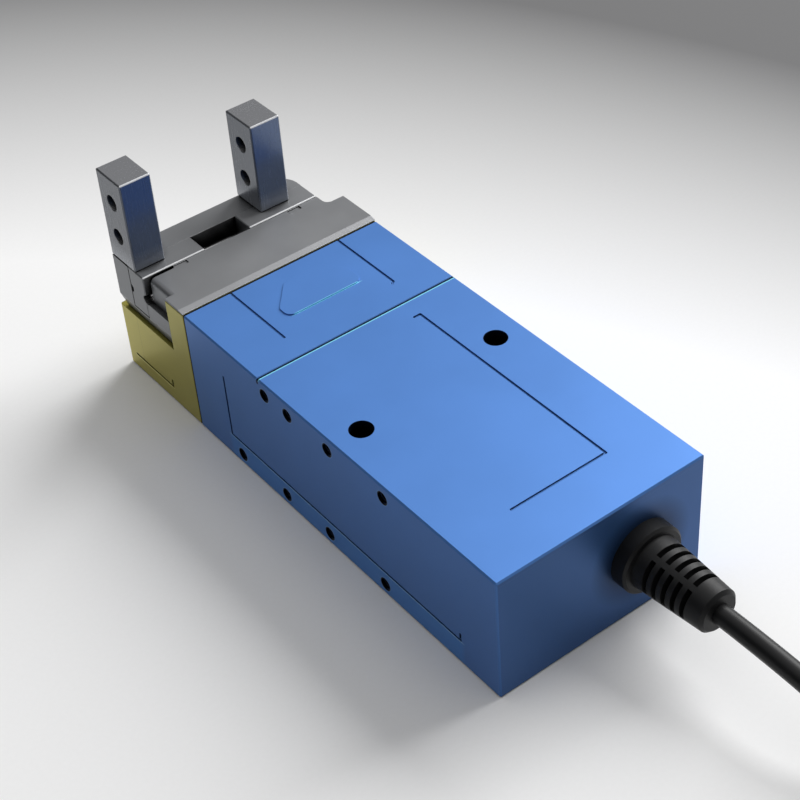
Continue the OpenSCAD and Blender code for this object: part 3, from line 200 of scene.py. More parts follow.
class GripperStageSettings(bpy.types.PropertyGroup):
    """Camera, table, lamp and room light."""

    azimuth: angle_prop("Azimuth", "Where the camera looks, from +Y towards +X", 34.45)
    elevation: angle_prop("Elevation", "How far the camera looks down", 40.62)
    roll: angle_prop("Roll", "Turn of the camera about its own axis", -4.76)
    distance: length_prop("Distance", "From the camera to its target", 451.4, 50)
    target: place_prop("Target", "Point that the camera looks at", (0.0014, -0.0029, 0.02))
    lens: FloatProperty(
        name="Lens", description="Focal length on a 36 mm sensor", default=82.9, min=10
    )
    table: colour_prop("Table", "Pale table under the gripper", (0.89, 0.89, 0.89))
    table_far: colour_prop("Far table", "Table far behind the gripper", (0.165, 0.165, 0.167))
    far_start: length_prop("Far start", "Where the table begins to darken", 72)
    far_end: length_prop("Far end", "Where the table is at its darkest", 252)
    far_tilt: share_prop("Far tilt", "How much the right side darkens sooner", 0.39)
    far_curve: FloatProperty(
        name="Far curve", description="How much both sides darken sooner, per metre", default=1.34
    )
    bounce: share_prop("Bounce", "Share of the light that the table throws back up", 0.15)
    key_power: FloatProperty(
        name="Key lamp", description="Power of the large soft lamp", default=50.0, unit="POWER"
    )
    key_size: length_prop("Key size", "Width of the large soft lamp", 1440)
    key_place: place_prop("Key place", "Middle of the large soft lamp", (1.58, 0.24, 1.15))
    room_start: share_prop("Room start", "Height in the sky where the softbox begins", 0.56)
    room_end: share_prop("Room end", "Height in the sky from which it has its full light", 0.93)
    room_low: share_prop("Room low", "Light of the room near the horizon", 0.05)
    room_high: share_prop("Room high", "Light of the softbox overhead", 0.88)


# ------------------------------------------------------------- node helpers


class Tree:
    """Short ways to add and join nodes in one tree."""

    def __init__(self, tree):
        self.tree = tree
        self.column = 0

    def add(self, kind, **settings):
        node = self.tree.nodes.new(kind)
        self.column += 1
        node.location = (190 * (self.column % 9), -240 * (self.column // 9))
        for key, value in settings.items():
            setattr(node, key, value)
        return node

    def join(self, source, target):
        self.tree.links.new(source, target)

    def feed(self, socket, value):
        """Joins an output to a socket, or sets the socket's own value."""
        if isinstance(value, bpy.types.NodeSocket):
            self.join(value, socket)
        elif isinstance(value, (tuple, list)) and len(value) == 3 and socket.type == "RGBA":
            socket.default_value = (*value, 1.0)
        else:
            socket.default_value = value

    def math(self, operation, a, b=0.0, clamp=False):
        node = self.add("ShaderNodeMath", operation=operation, use_clamp=clamp)
        self.feed(node.inputs[0], a)
        self.feed(node.inputs[1], b)
        return node.outputs[0]

    def times(self, *values):
        """The product of two or more values."""
        product = values[0]
        for value in values[1:]:
            product = self.math("MULTIPLY", product, value)
        return product

    def inverse(self, value):
        """1 less a value."""
        return self.math("SUBTRACT", 1.0, value)

    def mix(self, factor, a, b):
        node = self.add("ShaderNodeMix", data_type="RGBA")
        self.feed(node.inputs[0], factor)
        self.feed(node.inputs[6], a)
        self.feed(node.inputs[7], b)
        return node.outputs[2]

    def remap(self, value, low, high, to_low, to_high):
        node = self.add("ShaderNodeMapRange", clamp=True)
        for index, item in enumerate((value, low, high, to_low, to_high)):
            self.feed(node.inputs[index], item)
        return node.outputs[0]

    def place(self):
        """The place on a piece, in the piece's own axes."""
        return self.add("ShaderNodeTexCoord").outputs["Object"]

    def axes(self, kind):
        """X, Y and Z of an output of the texture coordinates, such as Object or Normal."""
        split = self.add("ShaderNodeSeparateXYZ")
        self.join(self.add("ShaderNodeTexCoord").outputs[kind], split.inputs[0])
        return split.outputs

    def noise(self, vector, scale, detail=3.0, rough=0.55):
        node = self.add("ShaderNodeTexNoise", noise_dimensions="3D")
        self.feed(node.inputs["Vector"], vector)
        self.feed(node.inputs["Scale"], scale)
        self.feed(node.inputs["Detail"], detail)
        self.feed(node.inputs["Roughness"], rough)
        return node.outputs["Fac"]

    def stretched(self, vector, scale):
        node = self.add("ShaderNodeMapping")
        self.feed(node.inputs["Vector"], vector)
        node.inputs["Scale"].default_value = scale
        return node.outputs["Vector"]

    def group(self, tree, **values):
        node = self.add("ShaderNodeGroup")
        node.node_tree = tree
        for key, value in values.items():
            self.feed(node.inputs[key.replace("_", " ")], value)
        return node


FLOAT = "NodeSocketFloat"
VECTOR = "NodeSocketVector"


def shader_group(name, inputs, outputs):
    """An empty shader node group with its named sockets, and its input and output nodes."""
    tree = bpy.data.node_groups.new(name, "ShaderNodeTree")
    for label, kind, value in inputs:
        socket = tree.interface.new_socket(label, in_out="INPUT", socket_type=kind)
        if value is not None:
            socket.default_value = value
    for label, kind in outputs:
        tree.interface.new_socket(label, in_out="OUTPUT", socket_type=kind)
    nodes = Tree(tree)
    return nodes, nodes.add("NodeGroupInput"), nodes.add("NodeGroupOutput")


@functools.cache
def blast_grain_group():
    """Fine even grain of bead blasted or anodised metal, with a soft cloudy unevenness."""
    nodes, enter, leave = shader_group(
        "Blast Grain",
        [
            ("Size", FLOAT, 0.00025),
            ("Cloud Size", FLOAT, 0.03),
            ("Roughness", FLOAT, 0.4),
            ("Roughness Spread", FLOAT, 0.06),
        ],
        [("Height", FLOAT), ("Roughness", FLOAT), ("Cloud", FLOAT)],
    )
    place = nodes.place()
    fine = nodes.noise(place, nodes.math("DIVIDE", 1.0, enter.outputs["Size"]), 2.0)
    cloud = nodes.noise(place, nodes.math("DIVIDE", 1.0, enter.outputs["Cloud Size"]), 3.0)
    nodes.join(fine, leave.inputs["Height"])
    nodes.join(cloud, leave.inputs["Cloud"])
    mixed = nodes.math("ADD", nodes.times(fine, 0.4), nodes.times(cloud, 0.6))
    centred = nodes.times(nodes.math("SUBTRACT", mixed, 0.5), 2.0)
    spread = nodes.times(centred, enter.outputs["Roughness Spread"])
    nodes.join(
        nodes.math("ADD", enter.outputs["Roughness"], spread, clamp=True),
        leave.inputs["Roughness"],
    )
    return nodes.tree


@functools.cache
def edge_line_group():
    """Masks along sharp edges, and the normal of the slightly rounded edge.

    Lit is 1 on edges that tip up and back, where a painted highlight goes, and Shaded is 1
    on edges that tip to the left, where a painted shade line goes. Both are broken up a
    little by noise.
    """
    nodes, enter, leave = shader_group(
        "Edge Line",
        [("Width", FLOAT, 0.0002), ("Breakup", FLOAT, 0.5)],
        [("Lit", FLOAT), ("Shaded", FLOAT), ("Normal", VECTOR)],
    )
    bevel = nodes.add("ShaderNodeBevel", samples=6)
    nodes.join(enter.outputs["Width"], bevel.inputs["Radius"])
    nodes.join(bevel.outputs["Normal"], leave.inputs["Normal"])
    face = nodes.add("ShaderNodeNewGeometry")
    facing = nodes.add("ShaderNodeVectorMath", operation="DOT_PRODUCT")
    nodes.join(bevel.outputs["Normal"], facing.inputs[0])
    nodes.join(face.outputs["True Normal"], facing.inputs[1])
    edge = nodes.remap(facing.outputs["Value"], 0.998, 0.95, 0.0, 1.0)
    # Noise that breaks up the painted edge highlights and shade lines.
    patchy = nodes.remap(nodes.noise(nodes.place(), 260.0, 4.0), 0.35, 0.62, 0.0, 1.0)
    kept = nodes.inverse(enter.outputs["Breakup"])
    broken = nodes.math("ADD", nodes.times(patchy, enter.outputs["Breakup"]), kept)
    line = nodes.math("MULTIPLY", edge, broken, clamp=True)
    tip = nodes.add("ShaderNodeSeparateXYZ")
    nodes.join(bevel.outputs["Normal"], tip.inputs[0])
    slight, full = 0.12, 0.4
    back = nodes.remap(tip.outputs["Y"], -slight, -full, 0.0, 1.0)
    upward = nodes.remap(tip.outputs["Z"], slight, full, 0.0, 1.0)
    nodes.join(nodes.times(line, nodes.times(back, upward)), leave.inputs["Lit"])
    left = nodes.remap(tip.outputs["X"], -slight, -full, 0.0, 1.0)
    nodes.join(nodes.times(line, left), leave.inputs["Shaded"])
    return nodes.tree


@functools.cache
def recess_shade_group():
    """A mask that falls towards 0 deep in holes, slots and grooves."""
    nodes, enter, leave = shader_group(
        "Recess Shade",
        [
            ("Distance", FLOAT, 0.01),
            ("Open", FLOAT, 0.5),
            ("Strength", FLOAT, 0.8),
        ],
        [("Shade", FLOAT)],
    )
    around = nodes.add("ShaderNodeAmbientOcclusion", samples=8)
    nodes.join(enter.outputs["Distance"], around.inputs["Distance"])
    deep = nodes.remap(
        nodes.math("SUBTRACT", around.outputs["AO"], enter.outputs["Open"]), -0.22, 0.0, 1.0, 0.0
    )
    nodes.join(
        nodes.inverse(nodes.times(deep, enter.outputs["Strength"])), leave.inputs["Shade"]
    )
    return nodes.tree


@functools.cache
def tool_lines_group():
    """Fine parallel lines left by grinding or turning, along one object axis."""
    nodes, enter, leave = shader_group(
        "Tool Lines",
        [("Vector", VECTOR, None), ("Scale", FLOAT, 1.0)],
        [("Lines", FLOAT)],
    )
    coarse = nodes.noise(enter.outputs["Vector"], enter.outputs["Scale"], 4.0, 0.6)
    nodes.join(nodes.remap(coarse, 0.3, 0.7, 0.0, 1.0), leave.inputs["Lines"])
    return nodes.tree


# ---------------------------------------------------------------- materials

# Tones that finishes mix over their body colours, in linear light. Many are painted
# light: painted highlights, painted reflections and painted shade.
BLACK = (0.0, 0.0, 0.0)
# Painted highlight where the lamps glint on metal edges, and painted shade for edges that tip
# away.
PAINTED_GLINT = (0.95, 0.96, 0.98)
SHADED_EDGE = (0.015, 0.016, 0.02)
# Painted highlight on the edges of the blue housing.
BLUE_EDGE_GLINT = (0.25, 0.52, 0.95)
# Painted shade in the joint of the covers, and a painted highlight on its lip and on the pad's
# edge.
BLUE_SEAM_SHADE = (0.004, 0.012, 0.04)
BLUE_LIP_GLINT = (0.28, 0.8, 1.0)
# Painted shade on the rear face, darker close round the flange.
BLUE_REAR_SHADE = (0.012, 0.03, 0.08)
BLUE_FLANGE_SHADOW = (0.0, 0.004, 0.02)
BLUE_RAIL = (0.08, 0.33, 0.85)
# Painted highlight line along the top of the foot rail.
BLUE_RAIL_HIGHLIGHT = (0.45, 0.75, 1.0)
# Painted highlight round the side bores, and painted shade that blackens the bores.
BLUE_RIM_GLINT = (0.30, 0.50, 0.85)
SIDE_BORE_SHADE = (0.0, 0.001, 0.004)
TOP_BORE_SHADE = (0.0, 0.001, 0.01)
# Painted highlight on the edges of the gold head.
GOLD_EDGE_GLINT = (0.78, 0.70, 0.30)
# Painted light on the head's side faces near the nose, a painted highlight under the side groove
# and a painted shadow in the joint with the blue body.
GOLD_NOSE_LIGHT = (0.72, 0.64, 0.14)
GOLD_LIP_GLINT = (1.0, 0.95, 0.40)
GOLD_SEAM_SHADOW = (0.004, 0.006, 0.015)
# Painted shade on the end faces of the silver guide and carriages.
SILVER_END_SHADE = (0.17, 0.18, 0.195)
# Painted light on the finger tops, a painted reflection of the blue body on their backs, painted
# shade on their sides and a painted reflection on their feet.
FINGER_TOP_LIGHT = (0.31, 0.315, 0.33)
FINGER_BACK_REFLECTION = (0.14, 0.19, 0.30)
FINGER_SIDE_SHADE = (0.13, 0.145, 0.17)
FINGER_FOOT_REFLECTION = (0.42, 0.44, 0.48)
# Stretch of the noise that makes turning lines along Y.
LINES_Y = (1.0, 0.05, 1.0)


def new_material(name):
    """A material with an empty tree, its Principled shader and its node helper."""
    material = bpy.data.materials.new(name)
    material.use_nodes = True
    nodes = Tree(material.node_tree)
    shader = material.node_tree.nodes["Principled BSDF"]
    return material, nodes, shader


def tinted(colour, tint, dust=0.0):
    """A darker and a lighter tone of a colour, the lighter one with some dust on it."""
    dark = tuple(c * (1 - tint) for c in colour)
    light = tuple(min(1.0, c * (1 + tint) + dust) for c in colour)
    return dark, light


def add_relief(nodes, shader, height, depth, strength=1.0, rounded=None):
    """Fine relief on a surface, on top of the normal of its rounded edges if it has one."""
    relief = nodes.add("ShaderNodeBump")
    relief.inputs["Strength"].default_value = strength
    relief.inputs["Distance"].default_value = depth
    nodes.join(height, relief.inputs["Height"])
    if rounded:
        nodes.join(rounded, relief.inputs["Normal"])
    nodes.join(relief.outputs["Normal"], shader.inputs["Normal"])


def dress_metal(nodes, shader, body, edge, lit, shaded, metallic, recess,
                lit_colour=PAINTED_GLINT, open_share=0.5):
    """Mixes painted edge glints, painted edge shade and painted recess shade into a body colour.
    """
    glint = nodes.math("MULTIPLY", edge.outputs["Lit"], lit, clamp=True)
    dim = nodes.math("MULTIPLY", edge.outputs["Shaded"], shaded, clamp=True)
    colour = nodes.mix(dim, body, SHADED_EDGE)
    colour = nodes.mix(glint, colour, lit_colour)
    shade = nodes.group(
        recess_shade_group(), Distance=0.011, Open=open_share, Strength=recess
    ).outputs["Shade"]
    nodes.join(nodes.mix(shade, BLACK, colour), shader.inputs["Base Color"])
    nodes.join(nodes.times(nodes.inverse(glint), metallic), shader.inputs["Metallic"])


def blasted_metal(name, finish, colour, rough, metallic, lit, edge_share=1.0, bump=0.05,
                  lit_colour=PAINTED_GLINT, tint=0.12, shaded=0.3, recess=0.85,
                  extra=None, open_share=0.5, specular=0.3):
    """Bead blasted or anodised aluminium: fine grain, cloudy sheen, painted edge highlights and
    shade.
    """
    material, nodes, shader = new_material(name)
    blast = nodes.group(
        blast_grain_group(), Size=finish.grain, Cloud_Size=0.022, Roughness=rough,
        Roughness_Spread=0.05,
    )
    edge = nodes.group(
        edge_line_group(), Width=edge_share * finish.edge_width, Breakup=0.3
    )
    body = nodes.mix(blast.outputs["Cloud"], *tinted(colour, tint))
    if extra:
        body = extra(nodes, body)
    dress_metal(
        nodes, shader, body, edge, lit, shaded, metallic, recess, lit_colour, open_share
    )
    nodes.join(blast.outputs["Roughness"], shader.inputs["Roughness"])
    shader.inputs["Specular IOR Level"].default_value = specular
    add_relief(
        nodes, shader, blast.outputs["Height"], 0.00006, bump, edge.outputs["Normal"]
    )
    return material


def ground_metal(name, finish, colour, rough, stretch, lit, scale=900.0, bump=0.12,
                 tint=0.15, metallic=1.0, shaded=0.2, recess=0.6, extra=None, edge_share=1.0):
    """Metal with fine grinding or turning lines, as long as its noise is stretched."""
    material, nodes, shader = new_material(name)
    place = nodes.stretched(nodes.place(), stretch)
    lines = nodes.group(tool_lines_group(), Vector=place, Scale=scale).outputs["Lines"]
    edge = nodes.group(
        edge_line_group(), Width=edge_share * finish.edge_width, Breakup=0.35
    )
    blast = nodes.group(
        blast_grain_group(), Size=0.0004, Cloud_Size=0.012, Roughness=rough,
        Roughness_Spread=0.08,
    )
    uneven = nodes.math("ADD", nodes.times(lines, 0.5), nodes.times(blast.outputs["Cloud"], 0.5))
    body = nodes.mix(uneven, *tinted(colour, tint))
    if extra:
        body = extra(nodes, body)
    dress_metal(nodes, shader, body, edge, lit, shaded, metallic, recess)
    spread = nodes.times(nodes.math("SUBTRACT", lines, 0.5), 0.12)
    nodes.join(
        nodes.math("ADD", blast.outputs["Roughness"], spread, clamp=True),
        shader.inputs["Roughness"],
    )
    shader.inputs["Specular IOR Level"].default_value = 0.3
    add_relief(nodes, shader, lines, 0.00005, bump, edge.outputs["Normal"])
    return material


def moulded(name, colour, rough, grain, bump, coat=0.0, dust=0.0):
    """Moulded rubber or plastic with a fine mould texture and a little dust in it."""
    material, nodes, shader = new_material(name)
    blast = nodes.group(
        blast_grain_group(), Size=grain, Cloud_Size=0.009, Roughness=rough,
        Roughness_Spread=0.1,
    )
    nodes.join(
        nodes.mix(blast.outputs["Cloud"], *tinted(colour, 0.25, dust)),
        shader.inputs["Base Color"],
    )
    nodes.join(blast.outputs["Roughness"], shader.inputs["Roughness"])
    shader.inputs["Coat Weight"].default_value = coat
    shader.inputs["Specular IOR Level"].default_value = 0.28
    add_relief(nodes, shader, blast.outputs["Height"], 0.00008, bump)
    return material


def circuit_board_material():
    """Green solder mask with paler copper tracks under it."""
    material, nodes, shader = new_material("circuit_board")
    place = nodes.place()
    cells = nodes.add("ShaderNodeTexVoronoi", feature="DISTANCE_TO_EDGE", distance="CHEBYCHEV")
    nodes.join(place, cells.inputs["Vector"])
    cells.inputs["Scale"].default_value = 420.0
    track = nodes.remap(cells.outputs["Distance"], 0.06, 0.1, 1.0, 0.0)
    nodes.join(
        nodes.mix(track, (0.012, 0.09, 0.035), (0.03, 0.19, 0.08)), shader.inputs["Base Color"]
    )
    add_relief(nodes, shader, track, 0.00004, 0.3)
    nodes.join(
        nodes.remap(nodes.noise(place, 700.0), 0.3, 0.7, 0.28, 0.42), shader.inputs["Roughness"]
    )
    shader.inputs["Coat Weight"].default_value = 0.5
    return material


def wound_copper_material():
    """Enamelled copper wire, wound side by side along the length of the motor."""
    material, nodes, shader = new_material("wound_copper")
    place = nodes.place()
    wire = nodes.add("ShaderNodeTexWave", wave_type="BANDS", bands_direction="Y")
    nodes.join(place, wire.inputs["Vector"])
    wire.inputs["Scale"].default_value = 500.0
    wire.inputs["Distortion"].default_value = 0.6
    nodes.join(
        nodes.mix(wire.outputs["Fac"], (0.22, 0.06, 0.02), (0.62, 0.24, 0.09)),
        shader.inputs["Base Color"],
    )
    add_relief(nodes, shader, wire.outputs["Fac"], 0.0002)
    nodes.join(
        nodes.remap(nodes.noise(place, 900.0), 0.3, 0.7, 0.22, 0.38), shader.inputs["Roughness"]
    )
    shader.inputs["Metallic"].default_value = 0.9
    return material


def finish_nodes(material, *names):
    """Gives a finish to CAD nodes."""
    for name in names:
        for slot in NODES[name].material_slots:
            slot.material = material


# --------------------------------------------------------------- operators


class GRIPPER_OT_camera(bpy.types.Operator):
    """Places the camera"""

    bl_idname = "gripper.camera"
    bl_label = "Camera"

    def execute(self, context):
        stage = context.scene.gripper_stage
        forward = Vector((
            math.sin(stage.azimuth) * math.cos(stage.elevation),
            math.cos(stage.azimuth) * math.cos(stage.elevation),
            -math.sin(stage.elevation),
        ))
        level = Vector((math.cos(stage.azimuth), -math.sin(stage.azimuth), 0.0))
        upright = level.cross(forward)
        right = math.cos(stage.roll) * level + math.sin(stage.roll) * upright
        up = right.cross(forward)
        place = Vector(stage.target) - stage.distance * forward
        camera = bpy.data.cameras.new("camera")
        camera.lens = stage.lens
        camera.sensor_width = 36.0
        camera.clip_start = 0.01
        camera.clip_end = 20.0
        holder = bpy.data.objects.new("camera", camera)
        holder.matrix_world = Matrix.Translation(place) @ Matrix(
            (right, up, -forward)
        ).transposed().to_4x4()
        context.scene.collection.objects.link(holder)
        context.scene.camera = holder
        return {"FINISHED"}


# The coil turns from its start angle, and what happens on the way is given by how far it
# has turned: two steps inwards at the bottom, the climb to the top layer, one step
# outwards, two humps where it crosses the climb, and the rise towards the plug. All in
# degrees.
COIL_CENTRE = Vector((6, -182, 0)) * MM
COIL_START = 40.0
COIL_TURN = 1555.0
INWARD_STEPS = ((310, 360), (670, 720))
CLIMB = (960, 1030)
OUTWARD_STEP = (1320, 1390)
CROSSINGS = (1055, 1415)
CROSSING_SPREAD = 26
RISE_START = 1520
# The cable's centre on its way to the coil and on from it to the plug, in millimetres.
CABLE_ROUTE = [
    (11.2, -102.5, 18.3), (11.2, -108, 18.35), (11.2, -114, 18.3), (11.3, -120, 18),
    (11.7, -126, 17.1), (12.5, -131.5, 15.4), (13.9, -137, 12.9), (15.9, -142, 10.1),
    (18.6, -146.6, 7.3), (21.9, -151, 5), (25.3, -154.8, 3.4), (28.5, -158, 2.7),
]
CABLE_TAIL = [
    (6, -212.5, 9.6), (0.7, -212, 11.6), (-4.4, -210.7, 13.4), (-11, -206.9, 14.9),
    (-15.9, -201, 15.9), (-18.5, -193.8, 16.35), (-19, -190, 16.4),
]


def coil_section(angle, cable):
    """Radius and height of the cable's centre at an angle of the coil, in degrees.

    The bottom layer winds inwards in three turns, the cable climbs on to it, and the top
    layer winds outwards in the grooves below until it rises towards the plug.
    """
    gap = cable.turn_gap
    low = cable.diameter / 2
    outer = cable.outer_radius
    inner = outer - 2 * gap

    def ease(start, end):
        t = min(1.0, max(0.0, (angle - start) / (end - start)))
        return t * t * (3 - 2 * t)

    radius = outer - gap * sum(ease(*step) for step in INWARD_STEPS)
    height = low
    climb_start, climb_end = CLIMB
    if angle > climb_start:
        turn = math.radians(180 - 60 * ease(*CLIMB))
        radius = inner + gap + gap * math.cos(turn)
        height = low + gap * math.sin(turn)
    if angle > climb_end:
        radius = inner + gap / 2 + gap * ease(*OUTWARD_STEP)
        middle = inner + gap
        height = low + math.sqrt(max(0.0, gap * gap - (radius - middle) ** 2))
    for centre in CROSSINGS:
        height += cable.hump * math.exp(-(((angle - centre) / CROSSING_SPREAD) ** 2))
    return radius, height + cable.hump * ease(RISE_START, COIL_TURN)


def smoothed(points, parts):
    """A row of points with further points between them, on one smooth curve."""
    row = []
    for index in range(len(points) - 1):
        a, b = points[index], points[index + 1]
        into = (b - points[max(0, index - 1)]) / 2
        out = (points[min(len(points) - 1, index + 2)] - a) / 2
        for part in range(parts):
            t = part / parts
            row.append(
                a * (2 * t**3 - 3 * t**2 + 1) + into * (t**3 - 2 * t**2 + t)
                + b * (3 * t**2 - 2 * t**3) + out * (t**3 - t**2)
            )
    return row + [points[-1]]


def cable_points(cable):
    """The cable's centreline from the sleeve to the plug."""
    coil = []
    step = 360 / cable.steps
    angle = 0.0
    while angle < COIL_TURN + step / 2:
        reached = min(angle, COIL_TURN)
        radius, height = coil_section(reached, cable)
        turn = math.radians(COIL_START - reached)
        coil.append(
            COIL_CENTRE + Vector((radius * math.cos(turn), radius * math.sin(turn), height))
        )
        angle += step
    start = smoothed([Vector(p) * MM for p in CABLE_ROUTE] + coil[:2], 3)[:-3]
    end = smoothed(coil[-2:] + [Vector(p) * MM for p in CABLE_TAIL], 3)[3:]
    return start[:-1] + coil + end[1:]


class GRIPPER_OT_cable(bpy.types.Operator):
    """Lays the free cable: out of its sleeve, down to the table, into a coil and to its plug"""

    bl_idname = "gripper.cable"
    bl_label = "Cable"

    def execute(self, context):
        cable = context.scene.gripper_cable
        finish = context.scene.gripper_finish
        points = cable_points(cable)
        curve = bpy.data.curves.new("free_cable", "CURVE")
        curve.dimensions = "3D"
        curve.bevel_depth = cable.diameter / 2
        curve.bevel_resolution = 4
        curve.resolution_u = 1
        curve.use_fill_caps = True
        spline = curve.splines.new("POLY")
        spline.points.add(len(points) - 1)
        for place, point in zip(spline.points, points):
            place.co = (*point, 1.0)
        piece = bpy.data.objects.new("free_cable", curve)
        context.scene.collection.objects.link(piece)
        jacket = moulded("cable_jacket", finish.black, 0.42, 0.0003, 0.12, dust=0.004)
        curve.materials.append(jacket)
        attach(piece, "frame")
        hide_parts("cable", "cable_coil", "cable_tail")
        finish_nodes(jacket, "inner_lead")
        return {"FINISHED"}


class GRIPPER_OT_sleeve(bpy.types.Operator):
    """Finishes the flange, the bending sleeve, the tie and the plug of the cable"""

    bl_idname = "gripper.sleeve"
    bl_label = "Sleeve and plug"

    def execute(self, context):
        finish = context.scene.gripper_finish
        finish_nodes(
            moulded("moulded_rubber", finish.black, 0.5, 0.0004, 0.25, dust=0.006),
            "cable_flange", "strain_relief",
        )
        finish_nodes(
            moulded("moulded_nylon", [c * 1.4 for c in finish.black], 0.42, 0.0005, 0.2),
            "cable_tie", "plug_body",
        )
        finish_nodes(
            ground_metal("nickel_plate", finish, (0.62, 0.60, 0.56), 0.24, LINES_Y, 0.2, 500.0),
            "plug_ring", "gland_nut",
        )
        return {"FINISHED"}


class GRIPPER_OT_housing(bpy.types.Operator):
    """Finishes the blue anodised housing and its two covers, and the seals under them"""

    bl_idname = "gripper.housing"
    bl_label = "Housing"

    def execute(self, context):
        finish = context.scene.gripper_finish
        blue = blasted_metal(
            "blue_anodised", finish, finish.blue, 0.42, 0.42, 0.12, 0.4, lit_colour=BLUE_EDGE_GLINT,
            tint=0.07, shaded=0.0, recess=0.95, extra=housing_tones, specular=0.2,
        )
        finish_nodes(blue, "main_housing", "rear_top_cover", "front_top_cover")
        finish_nodes(
            moulded("seal_rubber", (0.03, 0.03, 0.032), 0.7, 0.0003, 0.3),
            "rear_cover_seal", "front_cover_seal",
        )
        return {"FINISHED"}


# The width over which a fine painted line fades, in millimetres.
SOFT = 0.06


def band(nodes, value, low, high, soft=SOFT):
    """A mask that is 1 where a value lies from low to high, all in millimetres."""
    rise = nodes.remap(value, (low - soft) * MM, low * MM, 0.0, 1.0)
    fall = nodes.remap(value, high * MM, (high + soft) * MM, 1.0, 0.0)
    return nodes.times(rise, fall)


def ramp(nodes, value, start, end, before, after):
    """Goes from one share to another as a value passes two places, in millimetres."""
    return nodes.remap(value, start * MM, end * MM, before, after)


def facing(nodes, axis, share=1.0, way=1):
    """A mask on faces that point along an axis of the normal, or against it for way -1."""
    return nodes.remap(axis, 0.5 * way, 0.9 * way, 0.0, share)


def facing_sides(nodes, share=1.0):
    """A mask on faces that point to the left or to the right."""
    return facing(nodes, nodes.math("ABSOLUTE", nodes.axes("Normal")["X"]), share)


def nearest(nodes, spots, keep):
    """Distance to the nearest of some spots, along the axes that are kept."""
    place = nodes.stretched(nodes.place(), keep)
    least = None
    for spot in spots:
        gap = nodes.add("ShaderNodeVectorMath", operation="DISTANCE")
        nodes.join(place, gap.inputs[0])
        gap.inputs[1].default_value = Vector(spot) * MM
        gap = gap.outputs["Value"]
        least = gap if least is None else nodes.math("MINIMUM", least, gap)
    return least


def cover_tones(nodes, body):
    """Painted shade in the joint of the covers, and a painted highlight on its lip and on the
    near edge of the raised pad.
    """
    axes = nodes.axes("Object")
    deep = ramp(nodes, axes["Z"], BODY_TOP - 1.5, BODY_TOP - 1.4, 0.0, 1.0)
    joint = band(nodes, axes["Y"], SEAM_Y - 0.35, SEAM_Y + 0.25, 0.1)
    toned = nodes.mix(nodes.times(joint, deep), body, BLUE_SEAM_SHADE)
    top = ramp(nodes, axes["Z"], BODY_TOP - 0.5, BODY_TOP - 0.3, 0.0, 1.0)
    lip = band(nodes, axes["Y"], SEAM_Y - 0.71, SEAM_Y - 0.43)
    pad = nodes.times(
        band(nodes, axes["X"], *PAD_ENDS, 1.5),
        band(nodes, axes["Y"], PAD_EDGE_Y - 0.16, PAD_EDGE_Y + 0.12),
    )
    glint = nodes.times(nodes.math("MAXIMUM", lip, pad), top)
    return nodes.mix(nodes.times(glint, 0.85), toned, BLUE_LIP_GLINT)


def rear_tones(nodes, body):
    """Painted shade on the rear face, and a darker painted shadow close round the flange of the
    cable.
    """
    rear = facing(nodes, nodes.axes("Normal")["Y"], 0.4, -1)
    toned = nodes.mix(rear, body, BLUE_REAR_SHADE)
    entry = nearest(nodes, [(CABLE_ENTRY.x, 0.0, CABLE_ENTRY.z)], (1.0, 0.0, 1.0))
    close = ramp(nodes, entry, 8.5, 15, 0.75, 0.0)
    return nodes.mix(
        nodes.times(close, nodes.remap(rear, 0.1, 0.3, 0.0, 1.0)), toned, BLUE_FLANGE_SHADOW
    )


def rail_tones(nodes, body):
    """A brighter foot rail on each side, with a painted highlight line along its top."""
    axes = nodes.axes("Object")
    along = nodes.times(band(nodes, axes["Y"], *RAIL_ENDS, 1.5), facing_sides(nodes))
    low = ramp(nodes, axes["Z"], RAIL_TOP - 0.3, RAIL_TOP - 0.1, 0.55, 0.0)
    toned = nodes.mix(nodes.times(low, along), body, BLUE_RAIL)
    line = band(nodes, axes["Z"], RAIL_TOP - 0.6, RAIL_TOP - 0.2)
    return nodes.mix(nodes.times(line, along, 0.75), toned, BLUE_RAIL_HIGHLIGHT)


def bore_tones(nodes, body):
    """Painted shade that blackens the bores, with a thin painted highlight round those in the
    sides.
    """
    side = nearest(nodes, [(0.0, y, z) for y, z in SIDE_HOLES], (0.0, 1.0, 1.0))
    rim = nodes.times(band(nodes, side, 1.85, 2.05), facing_sides(nodes))
    toned = nodes.mix(nodes.times(rim, 0.3), body, BLUE_RIM_GLINT)
    toned = nodes.mix(ramp(nodes, side, 1.8, 1.9, 1.0, 0.0), toned, SIDE_BORE_SHADE)
    top = nearest(nodes, [(x, y, 0.0) for x, y in TOP_HOLES], (1.0, 1.0, 0.0))
    return nodes.mix(ramp(nodes, top, 3.0, 3.1, 0.94, 0.0), toned, TOP_BORE_SHADE)


def housing_tones(nodes, body):
    """All the tones of the blue housing and its covers, with their painted shade and highlights.
    """
    for tones in (rear_tones, rail_tones, bore_tones, cover_tones):
        body = tones(nodes, body)
    return body


